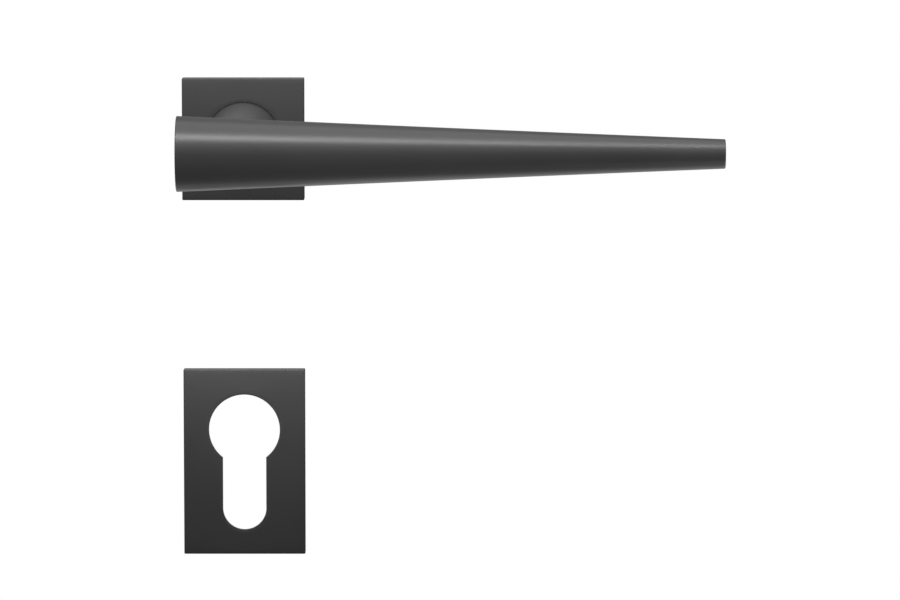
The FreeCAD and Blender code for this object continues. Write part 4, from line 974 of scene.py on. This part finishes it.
def seenAndLit(tree, shaderKind, outputKind, glow):
    # the camera sees one strength and every other ray meets the other
    tree.nodes.clear()
    surface = addNode(tree, shaderKind, {}, {"Color": (1, 1, 1, 1)})
    rays = addNode(tree, "ShaderNodeLightPath")
    strength = addNode(tree, "ShaderNodeMix", {"data_type": "FLOAT"}, {"A": glow, "B": studio["seen"]})
    linkAll(tree, (rays.outputs["Is Camera Ray"], strength, "Factor"),
            (strength.outputs["Result"], surface, "Strength"),
            (surface.outputs[0], addNode(tree, outputKind), "Surface"))


world = bpy.data.worlds.new("studioAir")
scene.world = world
world.use_nodes = True
seenAndLit(world.node_tree, "ShaderNodeBackground", "ShaderNodeOutputWorld", studio["skyGlow"])

floorPaint = bpy.data.materials.new("paleFloor")
floorPaint.use_nodes = True
seenAndLit(floorPaint.node_tree, "ShaderNodeEmission", "ShaderNodeOutputMaterial", studio["floorGlow"])
floorCorners = [(x * studio["floorHalf"], y * studio["floorHalf"], studio["floorZ"])
                for x, y in ((-1, -1), (1, -1), (1, 1), (-1, 1))]
floorMesh = bpy.data.meshes.new("studioFloor")
floorMesh.from_pydata(floorCorners, [], [(0, 1, 2, 3)])
floorMesh.materials.append(floorPaint)
studioFloor = addObject("studioFloor", floorMesh)

bothCovers = ("roseCover", "cylinderCover")
softBoxes = {
    "keyBox": {"at": (-0.24, -0.43, 0.585), "aim": (-0.24, -0.05, 0.0), "size": (0.76, 0.14), "power": 5.8,
               "flagged": bothCovers},
    "highBox": {"at": (0.48, -0.28, 0.65), "aim": (0.48, -0.05, 0.0), "size": (0.6, 0.12), "power": 2.8,
                "flagged": bothCovers},
    "topBox": {"at": (0.05, 0.10, 0.95), "aim": (0.04, -0.03, 0.0), "size": (1.4, 0.8), "power": 4.4},
    "fillBox": {"at": (0.05, -1.5, 0.75), "aim": (0.05, 0.0, -0.03), "size": (1.2, 0.5), "power": 1.2},
    "underBox": {"at": (0.05, 0.50, -0.44), "aim": (0.05, 0.50, 0.0), "size": (2.2, 0.85), "power": 3.9},
    "tipBox": {"at": (0.40, -0.06, -0.42), "aim": (0.40, -0.06, 0.0), "size": (0.44, 0.62), "power": 1.3,
               "flagged": bothCovers},
    # small strips graze one piece each from just above it; the key is flagged off both covers
    "roseStrip": {"at": (0.0, -0.040, 0.070), "aim": (0.0, -0.004, 0.0), "size": (0.07, 0.012), "power": 0.29,
                  "lights": ("roseCover",)},
    "cylinderStrip": {"at": (0.0, -0.030, -0.016), "aim": (0.0, -0.003, -0.07), "size": (0.07, 0.012),
                      "power": 0.195, "lights": ("cylinderCover",)},
    "neckStrip": {"at": (0.0, -0.012, 0.060), "aim": (0.0, -0.012, 0.0), "size": (0.05, 0.012), "power": 0.03,
                  "lights": ("neck",)},
}
for boxName, box in softBoxes.items():
    lamp = bpy.data.lights.new(boxName, "AREA")
    lamp.shape = "RECTANGLE"
    lamp.size, lamp.size_y = box["size"]
    lamp.energy = box["power"]
    holder = addObject(boxName, lamp)
    x, y, z = np.array(box["aim"]) - np.array(box["at"])
    holder.location = box["at"]
    holder.rotation_euler = (math.atan2(math.hypot(x, y), -z), 0, math.atan2(-x, y))
    holder.visible_camera = False
    holder.visible_glossy = "lights" not in box
    named = box.get("lights", ()) + box.get("flagged", ())
    if named:
        linked = bpy.data.collections.new(boxName + "Pieces")
        for pieceName in named:
            linked.objects.link(bpy.data.objects[pieceName])
        if "flagged" in box:
            for entry in linked.collection_objects:
                entry.light_linking.link_state = "EXCLUDE"
        holder.light_linking.receiver_collection = linked
    if "lights" in box:
        holder.light_linking.blocker_collection = linked

camera = {"at": (0.0508, -1.2968, 0.0972), "tilt": 6.042, "lens": 211.2, "sensor": 36.0}
lens = bpy.data.cameras.new("shopCamera")
lens.lens = camera["lens"]
lens.sensor_width = camera["sensor"]
cameraHolder = addObject("shopCamera", lens)
cameraHolder.location = camera["at"]
cameraHolder.rotation_euler = (math.radians(90 - camera["tilt"]), 0, 0)
scene.camera = cameraHolder
scene.view_settings.view_transform = "Standard"
print("the studio is set")
